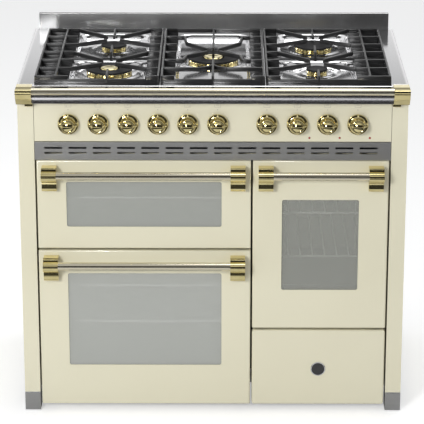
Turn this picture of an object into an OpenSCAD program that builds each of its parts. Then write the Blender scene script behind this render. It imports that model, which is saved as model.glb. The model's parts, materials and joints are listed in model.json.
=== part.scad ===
// Range cooker: three ovens with drop doors, a storage drawer, ten knobs and a five burner hob.
// Millimetres. X runs left to right, Y runs front to back and Z runs up.
// The origin is on the floor, under the middle of the plan.

/* [Cabinet] */
// Width of the cooker
body_w = 1000; // [950:10:1150]
// Depth of the cabinet, from the face of the posts to the back
body_d = 600; // [590:5:640]
// How far the worktop stands out in front of the posts
overhang = 60; // [56:1:70]
// Height of the worktop above the floor
worktop_h = 900; // [870:5:940]
// Depth of the worktop skirt, which sits on the posts and panels
skirt_h = 43; // [40:1:50]
// Width of the front posts
post_w = 41; // [38:1:50]
// Depth of the front posts
post_d = 45; // [44:1:60]
// Thickness of the outer sheet panels
panel_t = 1.5; // [1:0.1:2]
// How far the back panel is set in under the worktop, which leaves room for the gas inlet
back_inset = 25; // [20:1:30]
// Height of the base pan above the floor, which the foot covers fill
base_h = 50; // [46:1:56]
// Thickness of the base pan and the frame plate
plate_t = 3; // [2:0.5:4]
// How far the base pan's front flange is set back behind the door skins
base_setback = 75; // [74:1:90]
// Height of the base pan's front flange
base_flange_h = 40; // [30:1:42]

/* [Front layout] */
// Gap between the doors and the posts
reveal = 4; // [2:0.5:6]
// Gap between the left and right columns of doors
column_gap = 4.5; // [3:0.5:8]
// Width of the right column: the right door and the drawer front
right_w = 351.5; // [320:0.5:380]
// Height of the doors' and the drawer front's lower edge above the floor
door_bottom = 18; // [16:0.5:22]
// Height of the lower left door
lower_door_h = 434; // [420:1:445]
// Height of the drawer front
drawer_h = 212; // [200:0.5:216]
// Gap between one door and the door or drawer front below it
row_gap = 5.5; // [4.5:0.1:8]
// Seam between the control panel, the vent strip and the doors
seam = 1.2; // [0.8:0.1:2]
// Seam between the control panel or the vent strip and the posts
side_seam = 1; // [0.5:0.1:2]
// Height of the control panel
fascia_h = 106; // [100:0.5:112]
// Gap between the control panel and the worktop skirt
fascia_drop = 3; // [2:0.1:8]
// Height of the vent strip
vent_h = 48; // [42:1:54]

/* [Doors] */
// Thickness of a door
door_t = 40; // [36:1:44]
// Thickness of the door's enamelled skin
skin_t = 2; // [1.5:0.1:2.2]
// Depth of the hinge axis behind the door's face
axis_depth = 12; // [11.5:0.1:13]
// Height of the lower left door's hinge axis above its lower edge
low_axis_up = 53; // [51:0.5:55]
// Gap between a closed door and the frame plate
door_seal = 2; // [1:0.5:4]
// Radius of the doors' pressed edges
edge_r = 5; // [3:0.5:7]
// Radius of the doors' corners, seen from the front
corner_r = 4; // [2.5:0.5:8]
// Radius of the drawer front's corners, seen from the front
drawer_corner_r = 9; // [4:0.5:12]
// Distance from a window to the door's sides
window_side = 76; // [62:1:85]
// Radius of the windows' corners
window_r = 5; // [2:0.5:10]
// Window margins under and over the window, upper door
window_upper = [60, 58];
// Window margins under and over the window, lower door
window_lower = [113, 63];
// Window margins under and over the window, right door
window_right = [108, 106];
// Thickness of the glass
glass_t = 4; // [3:0.5:5]
// How far the glass laps behind the skin
glass_lap = 12; // [8:1:16]
// Distance from the door's sides to the middle of its hinge
hinge_inset = 27; // [24:1:30]
// Thickness of a hinge lug
lug_t = 12; // [8:0.5:14]
// Radius of a hinge lug's eye
lug_r = 9; // [7:0.5:9]
// Radius of a hinge pin
pin_r = 4; // [3:0.5:5]
// Running clearance of pins, stems and shafts in their bores, on the radius
run_fit = 0.05; // [0.02:0.01:0.09]
// Side clearance of lugs in their slots and of runners in their channels
side_fit = 0.35; // [0.3:0.05:0.8]

/* [Handles] */
// Diameter of a handle bar
bar_d = 21.5; // [18:0.5:26]
// Distance from the door's face to the middle of the bar
bar_stand = 33.5; // [30:0.5:36]
// Distance from the door's top edge down to the middle of the bar
bar_drop = 32; // [29:0.5:36]
// Width of a handle's end block
block_w = 38.5; // [30:0.5:44]
// Distance from the door's side to the end block
block_inset = 14.5; // [10:0.5:20]
// Radius of the end block's round bulge
bulge_r = 16.5; // [14:0.5:18]
// How far the end block's lower step stands out
step_out = 25; // [15:1:29]
// Height of the end block above and below the middle of the bar
block_up = 19; // [17:0.5:22]
block_down = 46; // [38:0.5:50]

/* [Ovens] */
// Distance from the door's sides to the oven cavity
cavity_side = 55; // [50:1:60]
// Distance from the door's top edge down to the cavity's top
cavity_drop = 28; // [24:1:34]
// Height of the cavity floor above the door's lower edge: upper, lower and right oven
cavity_lift = [34, 105, 55];
// Depth of the oven cavities
cavity_d = 430; // [400:5:450]
// Radius of the cavities' corners
cavity_r = 15; // [8:1:20]
// Thickness of the liner walls
liner_t = 2; // [1:0.2:3]
// Width of the flange round the liner's mouth
liner_flange = 14; // [8:1:15]
// Diameter of the rack frames
rack_d = 5; // [4:0.5:6]
// Diameter of the rack wires
wire_d = 3; // [2:0.5:4]
// Spacing of the rack wires, before they are evened out
wire_pitch = 30; // [24:1:40]
// Diameter of the heating elements
element_d = 7; // [6:0.5:8]

/* [Drawer] */
// Thickness of the drawer front
drawer_front_t = 20; // [16:1:24]
// Depth of the drawer box
drawer_d = 450; // [380:5:480]
// Side gap between the drawer box and the drawer front's ends
drawer_side = 14.5; // [14:0.5:20]
// Height of the drawer box's floor above the floor of the room
drawer_floor = 62; // [60:1:76]
// Height of the drawer box
drawer_box_h = 130; // [90:1:134]
// Thickness of the drawer box's walls
drawer_wall = 2; // [1:0.2:3]
// Height of the drawer's side rails
rail_h = 10; // [8:0.5:14]
// Diameter of the plain disc on the drawer front
badge_d = 39; // [30:1:45]
// Height of the middle of the disc above the drawer front's lower edge
badge_up = 102.5; // [90:0.1:118]

/* [Knobs] */
// Height of the knobs above the control panel's lower edge
knob_up = 49; // [40:0.5:52]
// Distance between the last knob of the left row and the first of the right row
knob_break = 126; // [110:1:140]
// How much wider the right row is spaced than the left
knob_extra = 1; // [0:0.5:2]
// Distance from the cooker's side to the first knob of the left row
knob_left = 130; // [120:1:140]
// Distance from the cooker's side to the last knob of the right row
knob_right = 129; // [120:1:140]
// Diameter of the knob's round skirt
knob_d = 54; // [48:1:56]
// Gap between the knob and the control panel, more than its push
knob_gap = 4.8; // [4.5:0.1:6]
// How far a gas knob is pushed in to turn it
knob_push = 4; // [3:0.5:4.2]
// Length of the knob from its skirt to its front
knob_l = 35; // [33:0.5:38]
// Radius of a gas tap's stem
stem_r = 4; // [3.5:0.1:5]
// Radius of an oven knob's shaft
shaft_r = 3; // [2.5:0.1:4]
// Diameter of the oven pilot lamps
lamp_d = 5.6; // [4:0.1:8]

/* [Hob] */
// Thickness of the worktop sheet
hob_t = 1.5; // [1:0.1:2]
// Depth of the pressed wells
well_depth = 13; // [9:0.5:16]
// Corner radius of the wells
well_r = 34; // [24:1:40]
// Width of the corner caps
cap_w = 40.5; // [36:0.5:40.5]
// Depth of the corner caps in plan
cap_d = 64; // [61:0.5:68]
// Depth in plan of the front moulding, from the caps' face to the worktop sheet
moulding_d = 43; // [42:0.5:48]
// Height of the rounded front edge
nose_h = 18; // [15:0.5:20]
// How far the rounded front edge is set back from the caps' face
nose_back = 14; // [8:0.5:18]
// Height of the rear upstand above the worktop
backguard_h = 48; // [35:1:80]
// Thickness of the rear upstand
backguard_t = 11; // [8:0.5:14]
// Height of the pan supports above the worktop
grate_h = 20; // [18:0.5:26]
// Thickness of the pan supports' bars, seen from above
iron_w = 7; // [5:0.5:9]
// Height of the pan supports' fingers
iron_h = 11; // [8:0.5:14]
// How far the front rail of a pan support lies below its top
rail_drop = 9; // [6:0.5:11]
// Height of the low cross bar between two burners
cross_h = 3.5; // [2.5:0.5:5]
// Number of rungs, front to back, on each pan support
rung_count = 7; // [7:1:7]
// Spacing of the rungs
rung_pitch = 84; // [80:1:86]
// Distance from the front edge of the worktop sheet to the first rung
rung_front = 31.5; // [26:0.5:34]
// Distance from the worktop's side to a pan support
hob_border = 44; // [40:1:50]
// Width of the centre pan support
centre_w = 268; // [250:2:276]
// Gap between neighbouring pan supports
support_gap = 2; // [1:0.5:4]
// Length of the rungs at the outer side of the side supports
comb_outer = 86; // [76:1:100]
// Length of the rungs at the inner side of the side supports
comb_inner = 37; // [30:1:44]
// Diameters of the burner caps: front left, rear left, centre, rear right, front right
cap_diameters = [122, 70, 137, 103, 57];
// Height of the burner caps' underside above the bottom of the wells
cap_rise = 8.5; // [7:0.5:14]
// Diameters of the inner caps of the two wok burners
inner_cap_d = [46, 0, 51, 0, 0];

/* [Hidden] */
$fn = 48;

cream = [0.93, 0.9, 0.8];
steel = [0.62, 0.63, 0.64];
bright = [0.8, 0.8, 0.82];
brass = [0.8, 0.66, 0.3];
iron = [0.16, 0.16, 0.17];
enamel = [0.22, 0.23, 0.25];
zinc = [0.55, 0.57, 0.6];
pane = [0.6, 0.66, 0.62];

// A small overlap that joins two shapes of one solid
bite = 0.5;

// Planes of the cabinet
half_w = body_w / 2;
front_y = -(body_d + overhang) / 2;
post_y = front_y + overhang;
rear_y = post_y + body_d;
back_y = rear_y - back_inset;
door_rear_y = post_y + door_t;
plate_y = door_rear_y + door_seal;
plate_back_y = plate_y + plate_t;
post_back_y = max(post_y + post_d, plate_back_y);
cabinet_h = worktop_h - skirt_h;
base_top = base_h + plate_t;
opening_x = half_w - post_w;

// Heights of the front pieces
fascia_top = cabinet_h - fascia_drop;
fascia_bottom = fascia_top - fascia_h;
vent_top = fascia_bottom - seam;
vent_bottom = vent_top - vent_h;
door_top = vent_bottom - seam;

// Edges of the two columns
left_x0 = -opening_x + reveal;
right_x1 = opening_x - reveal;
right_x0 = right_x1 - right_w;
left_x1 = right_x0 - column_gap;
divider_x = (left_x1 + right_x0) / 2;

// Each door: left edge, right edge, lower edge, upper edge, hinge height above the lower edge,
// window margins and lift of the cavity floor
rear_r = door_t - axis_depth;
UPPER = [left_x0, left_x1, door_bottom + lower_door_h + row_gap, door_top, rear_r, window_upper,
    cavity_lift[0]];
LOWER = [left_x0, left_x1, door_bottom, door_bottom + lower_door_h, low_axis_up, window_lower,
    cavity_lift[1]];
RIGHT = [right_x0, right_x1, door_bottom + drawer_h + row_gap, door_top, rear_r, window_right,
    cavity_lift[2]];
DOORS = [UPPER, LOWER, RIGHT];
axis_y = post_y + axis_depth;
function axis_z(d) = d[2] + d[4];
function lug_xs(d) = [d[0] + hinge_inset, d[1] - hinge_inset];
function cavity_x0(d) = d[0] + cavity_side;
function cavity_x1(d) = d[1] - cavity_side;
function cavity_z0(d) = d[2] + d[6];
function cavity_z1(d) = d[3] - cavity_drop;

// Slots in the doors for the hinge lugs
slot_r = lug_r + 0.7;
slot_w = lug_t + 2 * side_fit;
hinge_block_w = lug_t + 20;

// Rear skin of a door: the inner panel fills this opening
rear_margin = 10;
rear_rise = 14;
inner_t = 3;
inner_fit = 0.2;

// Drawer
drawer_top = door_bottom + drawer_h;
box_x0 = right_x0 + drawer_side;
box_x1 = right_x1 - drawer_side;
box_y0 = post_y + drawer_front_t;
box_y1 = box_y0 + drawer_d;
rail_z = drawer_floor + drawer_box_h / 2;
channel_t = 2;
channel_y0 = plate_back_y + 10;
channel_y1 = box_y1 + 5;
wall_x0 = right_x1 - 3;
divider_t = 2.5;
rail_out = 8;
rail_grip = 0.3;

// Knobs, counted from the left: the first five work the gas taps
knob_z = fascia_bottom + knob_up;
knob_pitch = (body_w - knob_left - knob_right - knob_break - 3 * knob_extra) / 8;
KNOBS = concat([for (i = [0:5]) -half_w + knob_left + i * knob_pitch],
    [for (i = [3:-1:0]) half_w - knob_right - i * (knob_pitch + knob_extra)]);
knob_y = post_y - knob_gap;
stem_depth = 34;
tap_front_y = post_y + panel_t + 6;
tap_back_y = plate_y;
hub_bore = 25;
rail_pipe_r = 8;
inlet_r = 10.5;
inlet_l = 20;
pipe_x = -opening_x + 18;
pipe_z = knob_z - 14 - rail_pipe_r;
inlet_z = cabinet_h - 60;

// Hob
hob_y0 = front_y + moulding_d;
hob_floor = worktop_h - well_depth;
well_half = 98;
side_well_in = 172;
side_well_out = half_w - hob_border - comb_outer;
first_rung_y = hob_y0 + rung_front;
well_y0 = first_rung_y + 6;
well_y1 = first_rung_y + (rung_count - 1) * rung_pitch + 18;
well_split = 38;
function rung_y(k) = first_rung_y + k * rung_pitch;
split_y = rung_y(2.95);
ridge_y = rung_y(2.84);
grate_top = worktop_h + grate_h;
centre_half = centre_w / 2;
side_in = centre_half + support_gap;
side_out = half_w - hob_border;
burner_x = (side_in + comb_inner + side_out - comb_outer) / 2;
centre_rung = 3.225;
front_rung = 1.8;
rear_rung = 4.82;
front_tip = 85;
BURNERS = [[-burner_x, rung_y(front_rung)], [-burner_x, rung_y(rear_rung)],
    [0, rung_y(centre_rung)], [burner_x, rung_y(rear_rung)], [burner_x, rung_y(front_rung)]];
cap_z = hob_floor + cap_rise;
cup_depth = 22;
cap_h = 5;
plug_r = 3;
function cup_r(i) = cap_diameters[i] * 0.3;
function plug_out(i) = cap_diameters[i] / 2 + 7;

// Levelling feet
foot_xs = [-half_w + post_w / 2, half_w - post_w / 2];
foot_ys = [post_y + 22, back_y - 35];
foot_pad_r = 17;
foot_stud_r = 6;
boss_r = 12;
boss_h = 20;

// Placing of flat shapes: outline in Y and Z, pushed along X
module along_x(x0, x1) {
    translate([x0, 0, 0]) rotate([90, 0, 90]) linear_extrude(x1 - x0) children();
}

// Outline in X and Z, pushed along Y
module along_y(y0, y1) {
    translate([0, y1, 0]) rotate([90, 0, 0]) linear_extrude(y1 - y0) children();
}

// Outline in X and Y, pushed along Z
module along_z(z0, z1) {
    translate([0, 0, z0]) linear_extrude(z1 - z0) children();
}

module box(x0, x1, y0, y1, z0, z1) {
    translate([x0, y0, z0]) cube([x1 - x0, y1 - y0, z1 - z0]);
}

module rod_x(x0, x1, y, z, r) {
    translate([x0, y, z]) rotate([0, 90, 0]) cylinder(h = x1 - x0, r = r);
}

module rod_y(y0, y1, x, z, r) {
    translate([x, y0, z]) rotate([-90, 0, 0]) cylinder(h = y1 - y0, r = r);
}

module rod_z(z0, z1, x, y, r) {
    translate([x, y, z0]) cylinder(h = z1 - z0, r = r);
}

// Rounded rectangle between two corners
module rounded(a0, a1, b0, b1, r) {
    translate([a0 + r, b0]) square([a1 - a0 - 2 * r, b1 - b0]);
    translate([a0, b0 + r]) square([a1 - a0, b1 - b0 - 2 * r]);
    for (a = [a0 + r, a1 - r], b = [b0 + r, b1 - r]) translate([a, b]) circle(r);
}

module both_sides() {
    children();
    mirror([1, 0, 0]) children();
}

// Base pan with its front flange, the divider between the ovens and the drawer's channels
module base_frame() {
    pan_x = half_w - panel_t;
    flange_y = post_y + base_setback;
    color(zinc) {
        difference() {
            union() {
                box(-pan_x, pan_x, flange_y, back_y - panel_t, base_h, base_top);
                box(-opening_x, divider_x, flange_y, flange_y + panel_t, base_top - bite,
                    base_top + base_flange_h);
                box(divider_x - bite, opening_x, flange_y, flange_y + panel_t, base_top - bite,
                    drawer_floor - 2);
                both_sides() box(opening_x + 0.5, pan_x, post_y + 2.5, flange_y + bite, base_h,
                    base_top);
                for (x = foot_xs, y = foot_ys) rod_z(base_top - bite, base_top + boss_h, x, y, boss_r);
                box(divider_x - divider_t / 2, divider_x + divider_t / 2, flange_y,
                    plate_back_y + cavity_d, base_top - bite, door_top);
                box(divider_x - divider_t / 2, divider_x + divider_t / 2, plate_back_y,
                    flange_y + bite, base_top + base_flange_h, door_top);
                box(wall_x0, wall_x0 + divider_t, channel_y0, channel_y1, base_top - bite,
                    rail_z + 20);
            }
            for (x = foot_xs, y = foot_ys)
                rod_z(base_h - 1, base_top + boss_h + 1, x, y, foot_stud_r + run_fit);
        }
        drawer_channel(divider_x + divider_t / 2 - bite, box_x0 - 1, 1);
        drawer_channel(wall_x0 + bite, box_x1 + 1, -1);
    }
}

// Channel that a drawer rail runs in: web at x_web, open towards x_open
module drawer_channel(x_web, x_open, side) {
    inner = rail_h / 2 + rail_grip;
    x_in = side > 0 ? box_x0 - rail_out - rail_grip : box_x1 + rail_out + rail_grip;
    along_y(channel_y0, channel_y1) difference() {
        translate([min(x_web, x_open), rail_z - inner - channel_t])
            square([abs(x_open - x_web), 2 * (inner + channel_t)]);
        translate([min(x_in, x_open + side), rail_z - inner])
            square([abs(x_open + side - x_in), 2 * inner]);
    }
}

// Pads and studs of the four levelling feet
module levelling_feet() {
    color(steel) for (x = foot_xs, y = foot_ys) translate([x, y, 0]) {
        rotate_extrude() polygon([[0, 0], [foot_pad_r - 2, 0], [foot_pad_r, 2], [foot_pad_r, 6],
            [foot_stud_r + 3, 11], [foot_stud_r + 3, 16], [0, 16]]);
        cylinder(h = base_top + boss_h, r = foot_stud_r);
    }
}

// Three sided covers that close the gap under the posts
module foot_covers() {
    color(steel) both_sides() difference() {
        box(opening_x, half_w, post_y, post_back_y, 2, base_h);
        box(opening_x + 2, half_w - 2, post_y + 2, post_back_y + 1, 1, base_h + 1);
    }
}

module side_panel(side) {
    x = side * (half_w - panel_t / 2);
    color(cream) box(x - panel_t / 2, x + panel_t / 2, post_back_y, back_y - panel_t, base_h,
        cabinet_h);
}

// Rear panel with rows of cooling slots, the gas inlet's hole and the cable gland's hole
module back_panel() {
    slot_l = 60;
    slot_h = 6;
    slot_pitch = [90, 24];
    first_row = cabinet_h - 380;
    gland_x = half_w - 90;
    gland_z = base_top + 83;
    gland_r = 12;
    color(zinc) difference() {
        box(-half_w, half_w, back_y - panel_t, back_y, base_h, cabinet_h);
        for (row = [0:3], column = [-4:4]) {
            x = column * slot_pitch[0];
            z = first_row + row * slot_pitch[1];
            along_y(back_y - panel_t - 1, back_y + 1)
                rounded(x - slot_l / 2, x + slot_l / 2, z, z + slot_h, slot_h / 2 - 0.1);
        }
        rod_y(back_y - panel_t - 1, back_y + 1, pipe_x, inlet_z, inlet_r + 1);
        rod_y(back_y - panel_t - 1, back_y + 1, gland_x, gland_z, gland_r);
    }
    // Bush for the mains cable
    color(iron) difference() {
        rod_y(back_y - 8, back_y + 4, gland_x, gland_z, gland_r);
        rod_y(back_y - 9, back_y + 5, gland_x, gland_z, gland_r - 4);
    }
}

// Posts and the frame plate with the oven mouths, the drawer's mouth and the hinge lugs
module face_frame() {
    plate_bottom = axis_z(LOWER) + rear_r + 3;
    mouth = 4;
    color(cream) {
        difference() {
            union() {
                both_sides() box(opening_x, half_w, post_y, post_back_y, base_top, cabinet_h);
                box(-opening_x - bite, opening_x + bite, plate_y, plate_back_y, plate_bottom,
                    cabinet_h);
                for (d = DOORS) door_lugs(d, plate_bottom);
            }
            both_sides() box(opening_x + 2, half_w - 2, post_y + 2, post_back_y - plate_t,
                base_top - 1, cabinet_h + 1);
            for (d = DOORS)
                box(cavity_x0(d) - mouth, cavity_x1(d) + mouth, plate_y - 1, plate_back_y + 1,
                    cavity_z0(d) - mouth, cavity_z1(d) + mouth);
            box(-opening_x + 4, opening_x - 4, plate_y - 1, plate_back_y + 1, door_top + 8,
                cabinet_h - 6);
            box(divider_x + 4, opening_x - 4, plate_y - 1, plate_back_y + 1, base_h,
                drawer_top - 6);
            for (d = DOORS, x = lug_xs(d))
                rod_x(x - lug_t, x + lug_t, axis_y, axis_z(d), pin_r + run_fit);
        }
    }
}

// Two lugs that carry a door's hinge pins, with an ear down from the plate where it ends higher
module door_lugs(d, plate_bottom) {
    z = axis_z(d);
    arm = lug_r - 2;
    for (x = lug_xs(d)) along_x(x - lug_t / 2, x + lug_t / 2) {
        translate([axis_y, z]) circle(lug_r);
        translate([axis_y, z - arm]) square([plate_y + bite - axis_y, 2 * arm]);
        translate([plate_y, z - arm]) square([plate_t, max(2 * arm, plate_bottom + bite - z + arm)]);
    }
}

// Worktop sheet with five wells and its skirt
module hob_top() {
    skirt_y0 = post_y + 2;
    color(bright) difference() {
        union() {
            difference() {
                box(-half_w, half_w, hob_y0, rear_y, cabinet_h, worktop_h);
                box(-half_w + hob_t, half_w - hob_t, hob_y0 + hob_t, rear_y - hob_t,
                    cabinet_h - 1, worktop_h - hob_t);
            }
            box(-half_w, half_w, hob_y0, skirt_y0, cabinet_h, cabinet_h + hob_t);
            hob_wells(hob_floor - hob_t, worktop_h - bite, 0);
        }
        both_sides() box(half_w - cap_w, half_w + 1, hob_y0 - 1, front_y + cap_d, cabinet_h - 1,
            worktop_h + 1);
        hob_wells(hob_floor, worktop_h + 1, hob_t);
        for (i = [0:4]) {
            rod_z(hob_floor - 5, worktop_h, BURNERS[i][0], BURNERS[i][1], cup_r(i) + 0.5);
            rod_z(hob_floor - 5, worktop_h, BURNERS[i][0] + plug_out(i) * cos(40),
                BURNERS[i][1] + plug_out(i) * sin(40), plug_r + 0.3);
        }
    }
}

// The wells: a long one in the middle and two at each side, drawn in by a wall
module hob_wells(z0, z1, wall) {
    along_z(z0, z1) {
        rounded(-well_half + wall, well_half - wall, well_y0 + wall, well_y1 - wall, well_r - wall);
        both_sides() {
            rounded(side_well_in + wall, side_well_out - wall, well_y0 + wall,
                ridge_y - well_split / 2 - wall, well_r - wall);
            rounded(side_well_in + wall, side_well_out - wall, ridge_y + well_split / 2 + wall,
                well_y1 - wall, well_r - wall);
        }
    }
}

// Outline of the front edge, from the side: a round nose over a set back apron
module nose_outline(out, wall) {
    nose_y = front_y + nose_back + nose_h / 2;
    apron_y = front_y + 30 + wall;
    apron_top = worktop_h - nose_h;
    translate([nose_y, worktop_h - nose_h / 2]) circle(nose_h / 2 - wall);
    translate([nose_y, worktop_h - nose_h + wall])
        square([hob_y0 - nose_y + out, nose_h - 2 * wall]);
    translate([apron_y, cabinet_h + wall])
        square([hob_y0 - apron_y + out, apron_top - cabinet_h]);
}

// Hollow steel moulding between the corner caps
module front_moulding() {
    color(bright) along_x(-half_w + cap_w, half_w - cap_w) difference() {
        nose_outline(0, 0);
        nose_outline(1, hob_t);
    }
}

// Corner caps: stepped blocks that end the front moulding, each with a tab over the post
module corner_caps() {
    top = worktop_h;
    low = cabinet_h;
    y = front_y;
    color(brass) both_sides() {
        along_x(half_w - cap_w, half_w) polygon([[y + cap_d, top], [y, top], [y, top - 12],
            [y + 4, top - 13], [y + 8, top - 25], [y + 11, top - 26], [y + 24, low + 1],
            [y + 24, low], [y + cap_d, low]]);
        box(half_w - cap_w, half_w - cap_w / 2, post_y - 14, post_y, low - 12, low + bite);
    }
}

// Rear upstand: a hollow folded sheet that stands on the worktop
module backguard() {
    color(bright) difference() {
        box(-half_w, half_w, rear_y - backguard_t, rear_y, worktop_h, worktop_h + backguard_h);
        box(-half_w + hob_t, half_w - hob_t, rear_y - backguard_t + hob_t, rear_y - hob_t,
            worktop_h - 1, worktop_h + backguard_h - hob_t);
    }
}

// Cast bar between two points in plan, narrower at its top
module iron_bar(p, q, z0, z1) {
    v = q - p;
    taper = 1;
    translate([p[0], p[1], z0]) rotate([0, 0, atan2(v[1], v[0])]) rotate([90, 0, 90])
        linear_extrude(norm(v)) polygon([[-iron_w / 2, 0], [iron_w / 2, 0],
            [iron_w / 2 - taper, z1 - z0], [-iron_w / 2 + taper, z1 - z0]]);
}

// Rung of a comb: a bar like the fingers, on a foot down to the worktop
module iron_rung(p, q) {
    iron_bar(p, q, grate_top - iron_h, grate_top);
    box(min(p[0], q[0]), max(p[0], q[0]), p[1] - iron_w / 2 + 0.4, p[1] + iron_w / 2 - 0.4,
        worktop_h, grate_top - iron_h + 1);
}

// A bar that runs a little past its far end, so that two of them close the corner they make
module iron_finger(p, q) {
    past = 2.5;
    iron_bar(p, q + past * (q - p) / norm(q - p), grate_top - iron_h, grate_top);
}

// Left and right pan supports: an outer and an inner comb joined by low bars, with fingers
module pan_support_side() {
    out = side_out - iron_w / 2;
    second = side_out - 54;
    comb_o = side_out - comb_outer;
    in = side_in + iron_w / 2;
    comb_i = side_in + comb_inner;
    last = rung_count - 1;
    low = worktop_h + cross_h;
    finger_z = grate_top - iron_h;
    tip = 18;
    // Long bars, standing on the worktop at the outer edge
    iron_bar([out, rung_y(0) - iron_w / 2], [out, rung_y(last) + iron_w / 2], worktop_h, grate_top);
    iron_bar([second, rung_y(0)], [second, rung_y(last)], finger_z, grate_top);
    iron_bar([in, rung_y(0) - iron_w / 2], [in, rung_y(last) + iron_w / 2], worktop_h, grate_top);
    // Rungs of both combs
    for (k = [0:last]) {
        iron_rung([out, rung_y(k)], [comb_o, rung_y(k)]);
        iron_rung([in, rung_y(k)], [comb_i, rung_y(k)]);
    }
    // Cross bars at the front, the middle and the back
    iron_bar([in, rung_y(0)], [out, rung_y(0)], worktop_h, grate_top - rail_drop);
    iron_bar([in, split_y], [out, split_y], worktop_h, low);
    iron_bar([in, rung_y(last)], [out, rung_y(last)], finger_z, grate_top);
    // Fingers of the two burners
    for (e = [[2, front_rung], [5, rear_rung]], sx = [-1, 1], sy = [-1, 1]) iron_finger(
        [burner_x + sx * (comb_o - burner_x), rung_y(e[0] + sy)],
        [burner_x + sx * tip, rung_y(e[1]) + sy * tip]);
    for (e = [[rung_y(0), front_rung], [split_y, rear_rung]]) {
        iron_finger([burner_x, e[0]], [burner_x, rung_y(e[1]) - front_tip]);
        iron_bar([burner_x, e[0] - iron_w / 2], [burner_x, e[0] + iron_w / 2], worktop_h, grate_top);
    }
    iron_finger([burner_x, rung_y(last)], [burner_x, rung_y(rear_rung) + tip]);
}

// Centre pan support with four kinked fingers
module pan_support_centre() {
    out = centre_half - iron_w / 2;
    comb = centre_half - 36;
    last = rung_count - 1;
    jog_x = 78;
    tip = 15;
    low = grate_top - iron_h;
    centre_y = rung_y(centre_rung);
    color(iron) {
        both_sides() {
            iron_bar([out, rung_y(0) - iron_w / 2], [out, rung_y(last) + iron_w / 2], worktop_h,
                grate_top);
            for (k = [0, 2, 3, 4, 5, 6]) iron_rung([out, rung_y(k)], [comb, rung_y(k)]);
            for (e = [[2, 1, 45], [5, -1, 68]]) {
                kink = [jog_x, rung_y(e[0])];
                bend = [jog_x - 7, rung_y(e[0]) + e[1] * e[2]];
                iron_finger([comb, rung_y(e[0])], kink);
                iron_finger(kink, bend);
                iron_finger(bend, [tip, centre_y - e[1] * (tip - 4)]);
            }
            // The second rung, and short arches that join it to the front finger
            iron_finger([out, rung_y(1)], [36, rung_y(1)]);
            box(comb, out, rung_y(1) - 3, rung_y(1) + 3, worktop_h, low + 2);
            iron_finger([36, rung_y(1)], [11, rung_y(1) + 14]);
            iron_bar([11, rung_y(1) + 14], [-1, rung_y(1) + 34], low, grate_top);
            iron_bar([0, rung_y(0)], [out, rung_y(0)], worktop_h, grate_top - rail_drop);
            iron_bar([0, rung_y(last)], [out, rung_y(last)], low, grate_top);
        }
        iron_bar([0, rung_y(0) - iron_w / 2], [0, rung_y(0) + iron_w / 2], worktop_h, grate_top);
        iron_finger([0, rung_y(0)], [0, centre_y - front_tip - 6]);
        iron_finger([0, rung_y(last)], [0, centre_y + tip + 5]);
    }
}

// Burner bodies: a cup through the well floor, and a ring with flame ports under the cap
module burner_rings() {
    color(brass) for (i = [0:4]) translate([BURNERS[i][0], BURNERS[i][1], 0]) {
        r = cap_diameters[i] / 2 - 2;
        port_ring(r, 7, round(r * 0.62), hob_floor + 2);
        if (inner_cap_d[i] > 0)
            port_ring(inner_cap_d[i] / 2 - 1.5, 6, 14, hob_floor - cup_depth + 2 - bite);
        difference() {
            union() {
                cylinder_at(hob_floor - cup_depth, hob_floor + bite, cup_r(i));
                cylinder_at(hob_floor, hob_floor + 3, r);
            }
            cylinder_at(hob_floor - cup_depth + 2, hob_floor + 4, cup_r(i) - 3);
        }
    }
}

module cylinder_at(z0, z1, r) {
    translate([0, 0, z0]) cylinder(h = z1 - z0, r = r);
}

// Ring from its foot up to the cap, with radial flame ports cut into its upper edge
module port_ring(r, wall, ports, foot) {
    port_w = 1.8;
    port_h = 4;
    along_z(foot, cap_z - port_h) difference() {
        circle(r);
        circle(r - wall);
    }
    along_z(cap_z - port_h - bite, cap_z) difference() {
        circle(r);
        circle(r - wall);
        for (k = [0:ports - 1]) rotate(k * 360 / ports)
            translate([r - wall - 1, -port_w / 2]) square([wall + 2, port_w]);
    }
}

// Enamelled caps on the rings, open in the middle on the wok burners
module burner_caps() {
    color(iron) for (i = [0:4]) translate([BURNERS[i][0], BURNERS[i][1], cap_z]) {
        r = cap_diameters[i] / 2;
        hole = inner_cap_d[i] > 0 ? inner_cap_d[i] / 2 + 4 : 0;
        rotate_extrude() difference() {
            union() {
                translate([hole, 0]) square([r - 1.5 - hole, cap_h]);
                translate([hole, 0]) square([r - hole, cap_h - 1.5]);
                translate([r - 1.5, cap_h - 1.5]) circle(1.5);
            }
            translate([hole, cap_h - 0.6]) square([max(r - 9 - hole, 1), 1]);
        }
    }
}

// Brass discs in the middle of the wok burners
module wok_centre_caps() {
    color(brass) for (i = [0, 2]) translate([BURNERS[i][0], BURNERS[i][1], cap_z]) {
        r = inner_cap_d[i] / 2;
        rotate_extrude() {
            square([r - 1.5, cap_h + 1]);
            square([r, cap_h - 0.5]);
            translate([r - 1.5, cap_h - 0.5]) circle(1.5);
        }
    }
}

// Ceramic igniters beside the burners
module spark_plugs() {
    color("white") for (i = [0:4]) translate([BURNERS[i][0] + plug_out(i) * cos(40),
        BURNERS[i][1] + plug_out(i) * sin(40), 0]) {
        cylinder_at(hob_floor - 20, hob_floor + 5, plug_r);
        cylinder_at(hob_floor, hob_floor + 2, plug_r + 2);
        cylinder_at(hob_floor + 5 - bite, cap_z, 1);
    }
}

// Outline of a folded front panel, from the side: face, returns and a rounded lower edge
module folded_outline(z0, z1, depth, r) {
    difference() {
        intersection() {
            rounded(post_y, post_y + 3 * depth, z0, z1, r);
            translate([post_y, z0]) square([depth, z1 - z0]);
        }
        intersection() {
            rounded(post_y + panel_t, post_y + 3 * depth, z0 + panel_t, z1 - panel_t,
                max(r - panel_t, 0.5));
            translate([post_y, z0]) square([depth + 1, z1 - z0]);
        }
    }
}

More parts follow.
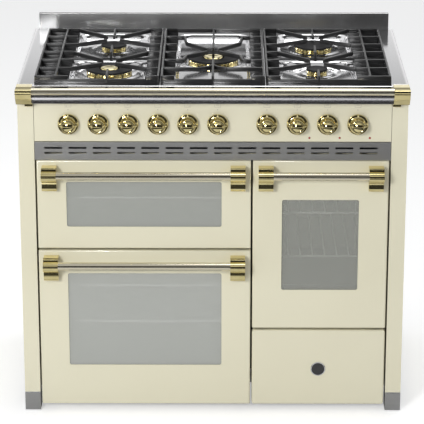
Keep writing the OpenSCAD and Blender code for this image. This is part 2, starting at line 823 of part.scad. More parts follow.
// Control panel with holes for the stems, shafts and pilot lamps
module control_fascia() {
    color(cream) difference() {
        along_x(-opening_x + side_seam, opening_x - side_seam) folded_outline(fascia_bottom,
            fascia_top, plate_y - post_y, 3);
        for (x = KNOBS) rod_y(post_y - 1, post_y + 5, x, knob_z, stem_r + 1.5);
        for (i = [7:9]) rod_y(post_y - 1, post_y + 5, lamp_x(i), lamp_z, lamp_d / 2 + 0.1);
    }
}

function lamp_x(i) = KNOBS[i] + 32;
lamp_z = knob_z - 38;

// Red lenses of the oven pilot lamps
module indicator_lamps() {
    color("red") for (i = [7:9]) translate([lamp_x(i), post_y, lamp_z]) {
        rotate([-90, 0, 0]) cylinder(h = 10, r = lamp_d / 2);
        rotate([90, 0, 0]) rotate_extrude() intersection() {
            translate([0, -2]) circle(lamp_d / 2 + 0.55);
            square([lamp_d / 2, lamp_d]);
        }
    }
}

// Gas rail with five taps, the inlet pipe to the back and the five oven switches
module taps_and_switches() {
    color(brass) {
        difference() {
            for (i = [0:4]) {
                box(KNOBS[i] - 11, KNOBS[i] + 11, tap_front_y, tap_back_y, knob_z - 14, knob_z + 13);
                rod_y(post_y + panel_t, tap_front_y + bite, KNOBS[i], knob_z, 9);
            }
            for (i = [0:4]) rod_y(post_y, post_y + stem_depth + knob_push + 1, KNOBS[i], knob_z,
                stem_r + run_fit);
        }
        rail_y = (tap_front_y + tap_back_y) / 2;
        rod_x(pipe_x, KNOBS[4] + 11, rail_y, pipe_z + 0.5, rail_pipe_r);
        rod_y(rail_y, rail_y + 40, pipe_x, pipe_z + 0.5, rail_pipe_r);
        rod_z(pipe_z, inlet_z, pipe_x, rail_y + 40, rail_pipe_r);
        rod_y(rail_y + 40, back_y, pipe_x, inlet_z, rail_pipe_r);
        for (z = [pipe_z + 0.5, inlet_z]) translate([pipe_x, rail_y + 40, z]) sphere(rail_pipe_r + 1);
        translate([pipe_x, rail_y, pipe_z + 0.5]) sphere(rail_pipe_r + 1);
        rod_y(back_y - 12, back_y + inlet_l, pipe_x, inlet_z, inlet_r);
    }
    color(enamel) difference() {
        for (i = [5:9]) {
            box(KNOBS[i] - 17, KNOBS[i] + 17, tap_front_y, tap_back_y, knob_z - 17, knob_z + 17);
            rod_y(post_y + panel_t, tap_front_y + bite, KNOBS[i], knob_z, 7);
        }
        for (i = [5:9]) rod_y(post_y, post_y + stem_depth, KNOBS[i], knob_z, shaft_r + run_fit);
    }
}

// Sprung stem of a gas tap, from inside the tap to inside the knob
module gas_stem(i) {
    color(steel) rod_y(knob_y - hub_bore + 1, post_y + stem_depth, KNOBS[i - 1], knob_z, stem_r);
}

// Brass knob: a round skirt with three small lobes and a pointer, a hub and a domed button
module knob(i) {
    gas = i <= 5;
    skirt = 7;
    lobe = 6;
    hub_r = 16;
    dome_r = 12;
    color(brass) translate([KNOBS[i - 1], knob_y, knob_z]) rotate([90, 0, 0]) {
        difference() {
            union() {
                rotate_extrude() {
                    square([knob_d / 2 - 2, skirt]);
                    square([knob_d / 2, skirt - 2]);
                    translate([knob_d / 2 - 2, skirt - 2]) circle(2);
                }
                for (a = [180, 270, 360]) rotate(a) translate([knob_d / 2 - lobe - 1.5, 0, skirt - bite])
                    cylinder(h = 7, r = lobe);
                rotate_extrude() {
                    square([hub_r + 2, knob_l - 7]);
                    square([hub_r, knob_l - 5]);
                    translate([hub_r, knob_l - 7]) circle(2);
                    intersection() {
                        translate([0, knob_l - 20]) circle(20);
                        square([dome_r, knob_l]);
                    }
                }
                along_z(skirt - bite, skirt + 8) {
                    translate([-2, 8]) square([4, knob_d / 2 - 10]);
                    translate([0, knob_d / 2 - 2]) circle(2);
                }
                along_z(skirt, knob_l - 9) translate([-1.5, 8]) square([3, hub_r - 4]);
            }
            if (gas) translate([0, 0, -1]) cylinder(h = hub_bore + 1, r = stem_r + run_fit);
        }
        if (!gas) rotate([180, 0, 0]) translate([0, 0, -bite])
            cylinder(h = knob_gap + stem_depth - 2 + bite, r = shaft_r);
    }
}

// Steel vent strip with two rows of slots
module vent_grille() {
    columns = 14;
    slot_l = 46.7;
    slot_h = 5;
    pitch = (2 * opening_x - 45) / columns;
    first_x = -opening_x + 25.5 + slot_l / 2;
    rows = [vent_h - 15.5, vent_h - 29];
    color(steel) difference() {
        along_x(-opening_x + side_seam, opening_x - side_seam)
            folded_outline(vent_bottom, vent_top, plate_y - post_y, 1);
        for (column = [0:columns - 1], row = rows) {
            x = first_x + column * pitch;
            along_y(post_y - 1, post_y + panel_t + 1) rounded(x - slot_l / 2, x + slot_l / 2,
                vent_bottom + row - slot_h / 2, vent_bottom + row + slot_h / 2, slot_h / 2 - 0.1);
        }
    }
}

// Oven liner: an open fronted box with a flange that seats on the back of the frame plate
module oven_liner(d) {
    x0 = cavity_x0(d);
    x1 = cavity_x1(d);
    z0 = cavity_z0(d);
    z1 = cavity_z1(d);
    t = liner_t;
    f = liner_t + liner_flange;
    color(enamel) difference() {
        union() {
            along_y(plate_back_y, plate_back_y + cavity_d + t)
                rounded(x0 - t, x1 + t, z0 - t, z1 + t, cavity_r + t);
            along_y(plate_back_y, plate_back_y + 2) rounded(x0 - f, x1 + f, z0 - f, z1 + f, cavity_r);
        }
        along_y(plate_back_y - 1, plate_back_y + cavity_d) rounded(x0, x1, z0, z1, cavity_r);
    }
}

// Wire racks and the side ladders that carry them
module oven_racks() {
    color(steel) {
        oven_rack_set(UPPER, [0.42]);
        oven_rack_set(LOWER, [0.32, 0.66]);
        oven_rack_set(RIGHT, [0.3, 0.62]);
    }
}

module oven_rack_set(d, levels) {
    x0 = cavity_x0(d) + 0.3;
    x1 = cavity_x1(d) - 0.3;
    y0 = plate_back_y + 25;
    y1 = plate_back_y + cavity_d - 30;
    z0 = cavity_z0(d);
    h = cavity_z1(d) - z0;
    r = rack_d / 2;
    w = wire_d / 2;
    for (level = levels) {
        z = z0 + level * h;
        // Ladder rails on the side walls
        for (x = [x0 + r, x1 - r]) rod_y(y0, y1, x, z, r);
        // Rack frame, whose front and rear rods rest on the rails, and its wires
        fx0 = x0 + 3 * r + 0.6;
        fx1 = x1 - 3 * r - 0.6;
        frame_z = z + 2 * r + 0.2;
        for (x = [fx0, fx1]) rod_y(y0 + 10, y1 - 5, x, frame_z, r - 0.4);
        for (y = [y0 + 10, y1 - 5]) rod_x(x0 + 0.8, x1 - 0.8, y, frame_z, r);
        count = round((fx1 - fx0) / wire_pitch);
        for (k = [1:count - 1]) rod_y(y0 + 10, y1 - 5, fx0 + k * (fx1 - fx0) / count,
            frame_z + r + w - 0.3, w);
    }
    for (x = [x0 + r, x1 - r], y = [y0 + 20, y1 - 20])
        rod_z(z0 + 20, z0 + h - 12, x, y, r - 0.4);
}

// Grill element under each oven's roof and a ring element on the rear wall
module oven_elements() {
    color(iron) for (d = DOORS) {
        grill_element(d);
        ring_element(d);
    }
}

module grill_element(d) {
    r = element_d / 2;
    z = cavity_z1(d) - 16;
    x0 = cavity_x0(d) + 45;
    x1 = cavity_x1(d) - 60;
    rows = 4;
    pitch = 62;
    y_back = plate_back_y + cavity_d - 50;
    for (k = [0:rows - 1]) rod_x(x0, x1, y_back - k * pitch, z, r);
    for (k = [0:rows - 2]) translate([k % 2 == 0 ? x0 : x1, y_back - (k + 0.5) * pitch, z])
        rotate([0, 0, k % 2 == 0 ? 90 : -90]) rotate_extrude(angle = 180)
            translate([pitch / 2, 0]) circle(r);
    // Tails back to the rear wall, each with a ferrule at its corner
    x2 = x1 + pitch / 2 + 2 * element_d;
    y_front = y_back - (rows - 1) * pitch;
    rod_y(y_back, plate_back_y + cavity_d, x1, z, r);
    rod_y(y_front, plate_back_y + cavity_d, x2, z, r);
    rod_x(x1, x2, y_front, z, r);
    for (c = [[x1, y_back], [x1, y_front], [x2, y_front]]) translate([c[0], c[1], z]) sphere(r + 0.8);
}

module ring_element(d) {
    r = element_d / 2;
    ring = min(cavity_z1(d) - cavity_z0(d) - 60, 190) / 2;
    y = plate_back_y + cavity_d - 12;
    x = (cavity_x0(d) + cavity_x1(d)) / 2;
    z = (cavity_z0(d) + cavity_z1(d)) / 2;
    translate([x, y, z]) rotate([90, 0, 0]) rotate_extrude() translate([ring, 0]) circle(r);
    for (s = [-1, 1]) rod_y(y, plate_back_y + cavity_d, x + s * ring, z, r);
    // Fan blades' hub and guard plate in the ring
    rod_y(y + 4, plate_back_y + cavity_d, x, z, ring * 0.7);
}

// Side outline of a door, drawn in by an inset
module door_outline(z0, z1, inset) {
    y0 = post_y + inset;
    y1 = door_rear_y - inset;
    r = rear_r - inset;
    e = max(edge_r - inset, 0.8);
    zr = z0 + rear_r;
    intersection() {
        rounded(y0, y1 + 2 * edge_r + 10, z0 + inset, z1 - inset, e);
        union() {
            translate([y0, z0 + inset]) square([axis_y - y0, z1 - z0 - 2 * inset]);
            translate([y0, zr]) square([y1 - y0, z1 - zr - inset]);
            intersection() {
                translate([axis_y, zr]) circle(r);
                translate([axis_y - 0.01, z0]) square([2 * r, 2 * r]);
            }
        }
    }
}

// Enamelled door: a hollow skin with a window, an open back and two hinge blocks
module door_skin(d) {
    x0 = d[0];
    x1 = d[1];
    z0 = d[2];
    z1 = d[3];
    az = axis_z(d);
    color(cream) intersection() {
        union() {
            difference() {
                along_x(x0, x1) door_outline(z0, z1, 0);
                along_x(x0 + skin_t, x1 - skin_t) door_outline(z0, z1, skin_t);
                along_y(door_rear_y - skin_t - 1, door_rear_y + 1) rounded(x0 + rear_margin,
                    x1 - rear_margin, az + rear_rise, z1 - rear_margin, 6);
                along_y(post_y - 1, post_y + skin_t + 1) rounded(x0 + window_side,
                    x1 - window_side, z0 + d[5][0], z1 - d[5][1], window_r);
                for (x = lug_xs(d)) hinge_slot(x, z0, az);
            }
            for (x = lug_xs(d)) hinge_block(x, z0, z1, az);
        }
        along_z(z0 - 1, z1 + 1) rounded(x0, x1, post_y, door_rear_y + 20, edge_r);
        along_y(post_y - 1, door_rear_y + 1) rounded(x0, x1, z0, z1, corner_r);
    }
}

// Clear space that a lug sweeps in the door as it opens
module hinge_slot(x, z0, az) {
    box(x - slot_w / 2, x + slot_w / 2, axis_y - slot_r, door_rear_y + 1, z0 - 1, az + slot_r);
}

// Solid block in the door round a slot, with the pin across it
module hinge_block(x, z0, z1, az) {
    difference() {
        intersection() {
            along_x(x - hinge_block_w / 2, x + hinge_block_w / 2) door_outline(z0, z1, 0);
            box(x - hinge_block_w, x + hinge_block_w, post_y - 1, door_rear_y + 1, z0 - 1,
                az + slot_r + 3);
        }
        hinge_slot(x, z0, az);
    }
    rod_x(x - slot_w / 2 - 4, x + slot_w / 2 + 4, axis_y, az, pin_r);
}

// Inner panel that closes the back of a door, with its own window
module door_inner(d) {
    f = inner_fit;
    color(steel) along_y(door_rear_y - inner_t, door_rear_y) difference() {
        rounded(d[0] + rear_margin + f, d[1] - rear_margin - f, axis_z(d) + rear_rise + f,
            d[3] - rear_margin - f, 6 - f);
        rounded(d[0] + window_side, d[1] - window_side, d[2] + d[5][0], d[3] - d[5][1], window_r);
    }
}

// Outer and inner panes of a door, each against the panel that it closes
module door_glass(d) {
    panes = [post_y + skin_t, door_rear_y - inner_t - glass_t];
    lap = glass_lap;
    low = max(d[2] + d[5][0] - lap, axis_z(d) + rear_rise + 1);
    color(pane) for (y = panes) along_y(y, y + glass_t) rounded(d[0] + window_side - lap,
        d[1] - window_side + lap, low, min(d[3] - d[5][1] + lap, d[3] - skin_t - 1), window_r);
}

// Straight handle bar between the end blocks
module handle_bar(d) {
    seat = block_w - 12;
    color(bright) rod_x(d[0] + block_inset + seat, d[1] - block_inset - seat,
        post_y - bar_stand, d[3] - bar_drop, bar_d / 2);
}

// Side outline of a handle's end block: flat top, round bulge and a lower step
module block_outline() {
    translate([-bar_stand, 0]) circle(bulge_r);
    translate([-bar_stand - 4, -bulge_r]) square([bar_stand + 4, bulge_r]);
    translate([-bar_stand - 2, 0]) square([bar_stand + 2, block_up]);
    translate([-step_out, -block_down + 6]) square([step_out, block_down - 6]);
    translate([-step_out + 6, -block_down]) square([step_out - 6, 6 + bite]);
    translate([-step_out + 6, -block_down + 6]) circle(6);
}

// Pair of brass end blocks, with a bore for each end of the bar
module handle_ends(d) {
    z = d[3] - bar_drop;
    color(brass) difference() {
        for (x = [d[0] + block_inset, d[1] - block_inset - block_w])
            translate([0, post_y, z]) along_x(x, x + block_w) block_outline();
        rod_x(d[0] + block_inset + block_w - 12 - run_fit, d[1] - block_inset - block_w + 12
            + run_fit, post_y - bar_stand, z, bar_d / 2 + run_fit);
    }
}

// Hollow drawer front with rounded corners
module drawer_front() {
    t = drawer_front_t;
    color(cream) difference() {
        intersection() {
            along_y(post_y, post_y + t) rounded(right_x0, right_x1, door_bottom, drawer_top,
                drawer_corner_r);
            along_x(right_x0, right_x1) rounded(post_y, post_y + t + 20, door_bottom, drawer_top,
                edge_r);
            along_z(door_bottom, drawer_top) rounded(right_x0, right_x1, post_y, post_y + t + 20,
                edge_r);
        }
        along_y(post_y + skin_t, post_y + t + 1) rounded(right_x0 + skin_t, right_x1 - skin_t,
            door_bottom + skin_t, drawer_top - skin_t, drawer_corner_r - skin_t);
    }
}

// Open topped drawer box with a fixing plate in the front and a rail on each side
module drawer_box() {
    z0 = drawer_floor;
    z1 = z0 + drawer_box_h;
    w = drawer_wall;
    f = skin_t + inner_fit;
    rail_y0 = box_y0 + 8;
    color(zinc) {
        difference() {
            box(box_x0, box_x1, box_y0 - bite, box_y1, z0, z1);
            box(box_x0 + w, box_x1 - w, box_y0 + w, box_y1 - w, z0 + w, z1 + 1);
        }
        along_y(post_y + skin_t, box_y0) rounded(right_x0 + f, right_x1 - f, door_bottom + f,
            drawer_top - f, drawer_corner_r - f);
        for (x = [box_x0 - rail_out, box_x1 - bite]) box(x, x + rail_out + bite, rail_y0, box_y1,
            rail_z - rail_h / 2, rail_z + rail_h / 2);
    }
}

// Plain disc on the drawer front
module drawer_badge() {
    color(iron) translate([(right_x0 + right_x1) / 2, post_y, door_bottom + badge_up])
        rotate([90, 0, 0]) rotate_extrude() {
            square([badge_d / 2 - 1, 2.5]);
            square([badge_d / 2, 1.5]);
            translate([badge_d / 2 - 1, 1.5]) circle(1);
        }
}

base_frame();
back_panel();
side_panel(-1);  // side_panel_left
side_panel(1);  // side_panel_right
foot_covers();
levelling_feet();
face_frame();
hob_top();
front_moulding();
corner_caps();
backguard();
color(iron) mirror([1, 0, 0]) pan_support_side();  // pan_support_left
pan_support_centre();
color(iron) pan_support_side();  // pan_support_right
burner_rings();
burner_caps();
wok_centre_caps();
spark_plugs();
control_fascia();
indicator_lamps();
taps_and_switches();
vent_grille();
oven_liner(UPPER);  // oven_liner_upper
oven_liner(LOWER);  // oven_liner_lower
oven_liner(RIGHT);  // oven_liner_right
oven_racks();
oven_elements();
door_skin(UPPER);  // door_upper
door_skin(LOWER);  // door_lower
door_skin(RIGHT);  // door_right
door_inner(UPPER);  // door_inner_upper
door_inner(LOWER);  // door_inner_lower
door_inner(RIGHT);  // door_inner_right
door_glass(UPPER);  // door_glass_upper
door_glass(LOWER);  // door_glass_lower
door_glass(RIGHT);  // door_glass_right
handle_bar(UPPER);  // handle_bar_upper
handle_bar(LOWER);  // handle_bar_lower
handle_bar(RIGHT);  // handle_bar_right
handle_ends(UPPER);  // handle_ends_upper
handle_ends(LOWER);  // handle_ends_lower
handle_ends(RIGHT);  // handle_ends_right
drawer_front();
drawer_box();
drawer_badge();
for (i = [1:10]) knob(i);
for (i = [1:5]) gas_stem(i);
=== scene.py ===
# %% [markdown]
# # A range cooker in cream enamel, brass and steel
# A wide range cooker is a steel cabinet behind thin enamelled fronts, with cast iron and
# brass on a pressed steel hob. The packed model already has every sheet and hinge in its
# place, in metres, so this lesson dresses it: the shapes that catch the light are drawn again
# as smooth surfaces, and every part gets a finish worked out from numbers.

# %% Load the packed model
import json
import math

import bmesh
import bpy
import numpy as np
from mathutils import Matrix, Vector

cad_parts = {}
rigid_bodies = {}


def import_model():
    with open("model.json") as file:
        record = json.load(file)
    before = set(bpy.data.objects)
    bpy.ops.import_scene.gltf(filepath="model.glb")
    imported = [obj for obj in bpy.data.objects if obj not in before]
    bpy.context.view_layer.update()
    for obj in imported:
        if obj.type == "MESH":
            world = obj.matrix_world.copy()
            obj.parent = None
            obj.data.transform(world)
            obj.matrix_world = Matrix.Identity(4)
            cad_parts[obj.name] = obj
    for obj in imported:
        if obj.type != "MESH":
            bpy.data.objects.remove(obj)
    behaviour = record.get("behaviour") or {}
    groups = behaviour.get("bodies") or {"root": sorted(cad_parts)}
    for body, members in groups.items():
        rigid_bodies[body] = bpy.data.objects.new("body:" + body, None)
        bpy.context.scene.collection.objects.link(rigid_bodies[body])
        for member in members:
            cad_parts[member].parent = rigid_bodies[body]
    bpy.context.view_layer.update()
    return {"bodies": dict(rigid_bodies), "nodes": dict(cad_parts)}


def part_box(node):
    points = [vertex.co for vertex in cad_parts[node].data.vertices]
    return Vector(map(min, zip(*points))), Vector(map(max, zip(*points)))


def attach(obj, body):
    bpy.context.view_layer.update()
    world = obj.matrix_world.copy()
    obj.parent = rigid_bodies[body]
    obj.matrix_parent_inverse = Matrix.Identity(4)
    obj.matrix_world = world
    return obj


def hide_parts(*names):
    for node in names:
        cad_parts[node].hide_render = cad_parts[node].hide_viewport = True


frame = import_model()


def span(node):
    """Lowest and highest corner of a node of the packed model, as arrays."""
    low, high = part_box(node)
    return np.array(low), np.array(high)


def linked(name, data):
    """A new object of the scene, at the origin."""
    made = bpy.data.objects.new(name, data)
    bpy.context.scene.collection.objects.link(made)
    return made


# %% [markdown]
# ## The camera
# The view is slightly from above and almost straight on. The lens is long, because the sides
# of the cooker hardly come together in the picture. A fit of the front's corners and of the
# rear upstand gave its place, its tilt and its length.

# %% Place the camera
camera_data = bpy.data.cameras.new("front_view")
camera = linked("front_view", camera_data)
away, tilt_down, turn_left = 5.8, 0.3203, 0.0056
camera.location = (0.0291, -away, 2.3928)
camera.rotation_euler = (math.pi / 2 - tilt_down, 0, turn_left)
camera_data.lens = 190.7
camera_data.sensor_width = 36
camera_data.dof.use_dof = False
bpy.context.scene.camera = camera
print("camera distance to the doors:", round(away + span("door_lower")[0][1], 2), "m")

# %% [markdown]
# ## Surfaces from numbers
# A grid of points is the plainest way to write a surface: one number runs along it, another
# across it, and each point is a formula of the two. One function makes the faces for all.


# %% Faces of a grid
def grid_faces(rows, columns, closed_rows=False, closed_columns=False):
    """Face k joins point (r, c) to (r + 1, c), (r + 1, c + 1) and (r, c + 1)."""
    r = np.arange(rows if closed_rows else rows - 1)
    c = np.arange(columns if closed_columns else columns - 1)
    r, c = np.meshgrid(r, c, indexing="ij")
    r_next, c_next = (r + 1) % rows, (c + 1) % columns
    corners = [r * columns + c, r_next * columns + c, r_next * columns + c_next,
               r * columns + c_next]
    return np.stack(corners, -1).reshape(-1, 4)


def rounded_outline(corners, radii, steps=5):
    """Each corner becomes an arc: a weighted mean of the corner and of two points on its
    sides, at radius / tan(half angle) from it, with the corner weighted by sin(half angle)."""
    corners = np.asarray(corners, float)
    radii = np.broadcast_to(np.asarray(radii, float), len(corners))[:, None]
    back = np.roll(corners, 1, 0) - corners
    ahead = np.roll(corners, -1, 0) - corners
    back /= np.linalg.norm(back, axis=1, keepdims=True)
    ahead /= np.linalg.norm(ahead, axis=1, keepdims=True)
    half = np.arccos(np.clip((back * ahead).sum(1), -1, 1))[:, None] / 2
    reach = radii / np.tan(half)
    s = np.linspace(0, 1, steps)[None, :, None]
    weight = 2 * s * (1 - s) * np.sin(half)[:, None]
    total = (1 - s) ** 2 + weight + s**2
    first, last = (corners + back * reach)[:, None], (corners + ahead * reach)[:, None]
    arcs = (1 - s) ** 2 * first + weight * corners[:, None] + s**2 * last
    return (arcs / total).reshape(-1, 2)


def rectangle(x0, x1, z0, z1):
    return np.array([(x0, z0), (x1, z0), (x1, z1), (x0, z1)], float)


# %% Three ways to make a shell: pushed, turned and drawn as a bar
def pushed(outline, axis, start, end):
    """A flat outline carried straight along X, Y or Z. Its two numbers are the other two
    coordinates in order, so along X they are Y and Z."""
    n = len(outline)
    points = np.empty((2, n, 3))
    others = [k for k in range(3) if k != axis]
    points[:, :, others] = outline
    points[0, :, axis], points[1, :, axis] = start, end
    caps = [list(range(n)), list(range(n, 2 * n))]
    return points.reshape(-1, 3), grid_faces(2, n, closed_columns=True), caps


def turned(profile, centre, along, steps=64, closed=False):
    """Point = centre + h * along + r * (cos t * side + sin t * up), with r and h from the
    profile and t going once round."""
    profile = np.asarray(profile, float)
    along = np.asarray(along, float) / np.linalg.norm(along)
    side = np.array([1.0, 0, 0]) if abs(along[0]) < 0.9 else np.array([0, 1.0, 0])
    up = np.cross(along, side)
    t = np.linspace(0, 2 * np.pi, steps, endpoint=False)
    ring = np.cos(t)[:, None] * side + np.sin(t)[:, None] * up
    r, h = profile.T[:, :, None, None]
    points = np.asarray(centre) + h * along + r * ring
    return points.reshape(-1, 3), grid_faces(len(profile), steps, closed, True), []


def cast_bar(start, end, low, high, width=0.007):
    """A cast bar between two points in plan. Its section is a trapezium with rounded edges,
    and both ends are drawn in to 0.8 over the last millimetre, as a casting's are."""
    start, end = np.asarray(start, float), np.asarray(end, float)
    length = np.linalg.norm(end - start)
    along = (end - start) / length
    across = np.array([-along[1], along[0]])
    half, tall = width / 2, high - low
    section = rounded_outline(
        [(-half, 0), (half, 0), (half - 0.001, tall), (-half + 0.001, tall)],
        [0.0006, 0.0006, 0.0014, 0.0014], 4)
    s = np.array([0, 0.0012, length - 0.0012, length])
    size = np.array([0.8, 1, 1, 0.8])
    points = np.empty((4, len(section), 3))
    aside = size[:, None] * section[:, 0]
    points[:, :, :2] = start + s[:, None, None] * along + aside[..., None] * across
    rise = np.array([0.85, 1, 1, 0.85])
    points[:, :, 2] = low + tall * (1 - rise[:, None]) / 2 + rise[:, None] * section[:, 1]
    n = len(section)
    caps = [list(range(n)), list(range(3 * n, 4 * n))]
    return points.reshape(-1, 3), grid_faces(4, n, False, True), caps


# %% [markdown]
# ## From shells to pieces
# A piece may hold many shells, as a pan support holds its bars. Points that fall together are
# merged, which closes poles, and then all faces are turned outwards. A sharp edge stays
# sharp where two faces meet at more than a chosen angle, and the rest shades smoothly.


# %% Make a piece and let it ride on its body
def merge(mesh, near, closed=False):
    """Corners that fall together become one; faces of closed shells then turn outwards."""
    work = bmesh.new()
    work.from_mesh(mesh)
    bmesh.ops.remove_doubles(work, verts=work.verts, dist=near)
    if closed:
        bmesh.ops.dissolve_degenerate(work, edges=work.edges, dist=1e-6)
        bmesh.ops.recalc_face_normals(work, faces=work.faces)
    work.to_mesh(mesh)
    work.free()


def piece(name, body, finish, *shells, **settings):
    """One object from shells. Each shell's face numbers move up by the points before it."""
    starts = np.cumsum([0] + [len(points) for points, _, _ in shells])
    faces = [face for (_, quads, _), at in zip(shells, starts) for face in (quads + at).tolist()]
    faces += [[i + int(at) for i in cap]
              for (_, _, caps), at in zip(shells, starts) for cap in caps]
    mesh = bpy.data.meshes.new(name)
    mesh.from_pydata(np.concatenate([points for points, _, _ in shells]).tolist(), [], faces)
    merge(mesh, 2e-6, True)
    return settle(name, mesh, body, finish, **settings)


def settle(name, mesh, body, finish, replaces=(), angle=35, bevel=0, slot=None):
    """Link the mesh as an object at the origin, with its finish and its body."""
    mesh.shade_smooth()
    mesh.set_sharp_from_angle(angle=math.radians(angle))
    mesh.materials.clear()
    mesh.materials.append(finish)
    made = linked(name, mesh)
    if bevel:
        edge = made.modifiers.new("edge", "BEVEL")
        edge.width, edge.segments, edge.limit_method = bevel, 3, "ANGLE"
        edge.angle_limit = math.radians(angle)
        edge.harden_normals = True
    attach(made, body)
    if replaces:
        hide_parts(*replaces)
    return made


def body_of_node(node):
    """The body that a node rides on, read from its parents."""
    above = frame["nodes"][node].parent
    return next(name for name, body in frame["bodies"].items() if body == above)


def smooth_copy(node, finish, slot):
    """A copy of a packed node, its loose triangles merged at their corners, so that bends
    shade as bends. Normals are weighted by area, so a flat face beside a small bend stays
    flat. It stands for the node, and nothing of its shape changes."""
    mesh = frame["nodes"][node].data.copy()
    merge(mesh, 1e-6)
    made = settle(node + "_finished", mesh, body_of_node(node), finish, (node,), 30, slot=slot)
    made.modifiers.new("flats_stay_flat", "WEIGHTED_NORMAL").keep_sharp = True
    return made


def dress(node, finish, slot):
    """Give a packed node its finish and leave its mesh as it is."""
    for place in frame["nodes"][node].material_slots:
        place.link = "OBJECT"
        place.material = finish


# %% [markdown]
# ## Shader sums as plain expressions
# A finish is arithmetic on patterns, such as a noise times a strength plus a base value. A
# small class wraps a socket, so that the sum can be written as it is said, and each
# operator adds its Math node. Colours don't go through it, because a Math node turns them
# grey; they are mixed by a pattern instead.


# %% The socket class
def adds_node(operation, swapped=False):
    """An operator that adds a Math node, with its two values swapped if asked."""
    def operator(self, other):
        first, second = (other, self) if swapped else (self, other)
        return self.network.node("ShaderNodeMath", {"operation": operation},
                                 {0: first, 1: second})
    return operator


class Pattern:
    """A number that changes over a surface, or round the sky."""

    def __init__(self, network, socket):
        self.network, self.socket = network, socket

    __add__ = __radd__ = adds_node("ADD")
    __sub__, __rsub__ = adds_node("SUBTRACT"), adds_node("SUBTRACT", True)
    __mul__ = __rmul__ = adds_node("MULTIPLY")
    __truediv__, above = adds_node("DIVIDE"), adds_node("GREATER_THAN")

    def clamped(self):
        return self.network.node("ShaderNodeMath", {"operation": "ADD", "use_clamp": True},
                                 {0: self, 1: 0.0})


# %% Networks of nodes, and finishes made of them
class Network:
    """The nodes of one finish or of the sky, added one by one."""

    def __init__(self, tree):
        self.tree = tree

    def feed(self, socket, value):
        if isinstance(value, Pattern):
            self.tree.links.new(value.socket, socket)
        elif isinstance(value, tuple) and len(value) == 3 and len(socket.default_value) == 4:
            socket.default_value = (*value, 1)
        else:
            socket.default_value = value

    def node(self, kind, settings=None, inputs=None, out=0):
        """Add one node: its settings first, then the values or links of its sockets."""
        made = self.tree.nodes.new(kind)
        for name, value in (settings or {}).items():
            if name == "stops":
                ramp = made.color_ramp.elements
                for k, (at, colour) in enumerate(value):
                    stop = ramp[k] if k < 2 else ramp.new(at)
                    stop.position, stop.color = at, (*colour, 1)
            else:
                setattr(made, name, value)
        for key, value in (inputs or {}).items():
            self.feed(made.inputs[key], value)
        return Pattern(self, made.outputs[out])

    def mixed(self, amount, first, second):
        """One colour into another by a pattern from 0 to 1."""
        return self.node("ShaderNodeMix", {"data_type": "RGBA"},
                         {0: amount, 6: first, 7: second}, 2)

    def greys(self, value, stops, full):
        """A grey level read off by a value from 0 to 1. The stops' places go from 0 to full."""
        stops = [(at / full, (level,) * 3) for at, level in stops]
        return self.node("ShaderNodeValToRGB", {"stops": stops}, {"Fac": value})

    def rays(self, *kinds):
        """1 for rays of those kinds, such as "Is Camera Ray", and 0 for all others."""
        found = [self.node("ShaderNodeLightPath", out=kind) for kind in kinds]
        return found[0] if len(found) == 1 else (found[0] + found[1]).clamped()


class Finish(Network):
    """A material with one main shader, whose sockets take values or patterns."""

    def __init__(self, name, **constants):
        self.material = bpy.data.materials.new(name)
        self.material.use_nodes = True
        super().__init__(self.material.node_tree)
        self.shader = self.tree.nodes["Principled BSDF"]
        self.set(**constants)

    def set(self, **values):
        """Values or patterns for sockets of the main shader, named with _ for a space."""
        for name, value in values.items():
            label = name.replace("_", " ").title().replace("Ior", "IOR")
            self.feed(self.shader.inputs[label], value)
        return self

    def place(self, stretch=(1, 1, 1)):
        """Object coordinates in metres, each axis times its stretch."""
        here = self.node("ShaderNodeTexCoord", out="Object")
        return self.node("ShaderNodeMapping", None, {"Vector": here, "Scale": stretch})

    def noise(self, scale, detail=3, stretch=(1, 1, 1), rough=0.5):
        return self.node("ShaderNodeTexNoise", None,
                         {"Vector": self.place(stretch), "Scale": scale, "Detail": detail,
                          "Roughness": rough})

    def relief(self, height, depth, strength=1.0):
        """A bump of that depth in metres."""
        self.set(normal=self.node("ShaderNodeBump", None,
                                  {"Height": height, "Distance": depth, "Strength": strength}))
        return self


print("a finish is made with", [name for name in vars(Finish) if not name.startswith("_")])

# %% [markdown]
# ## Enamel
# Vitreous enamel is glass melted on steel. It is almost smooth, with the faint ripple called
# orange peel, and its colour drifts by a hair over a wide panel. A clear coat over a pale
# base gives the two reflections, the sharp one and the soft one.


# %% Enamel finishes
def enamel(name, colour, shade, ripple=6e-5):
    finish = Finish(name, coat_weight=0.6, coat_roughness=0.06, ior=1.5)
    drift = finish.noise(2.2, 2)
    grain = finish.noise(260, 2)
    finish.set(base_color=finish.mixed((drift * 1.6 - 0.3).clamped(), colour, shade),
               roughness=0.24 + 0.12 * drift)
    return finish.relief(grain, ripple, 0.35).material


cream_enamel = enamel("cream_enamel", (0.8, 0.765, 0.59), (0.76, 0.72, 0.545))
black_enamel = enamel("black_enamel", (0.012, 0.012, 0.014), (0.02, 0.02, 0.022), 4e-5)


# %% Dark coats of the burner lids and of the cast iron
def dark_coat(name, dark, paler, rough, spread, patch, fine, depth, strength, **constants):
    """Patches move colour and roughness, and a fine grain breaks up the mirror image."""
    finish = Finish(name, **constants)
    grain = finish.noise(*fine)
    worn = finish.noise(patch, 3)
    finish.set(base_color=finish.mixed(worn, dark, paler), roughness=rough + spread * worn)
    return finish.relief(grain, depth, strength).material


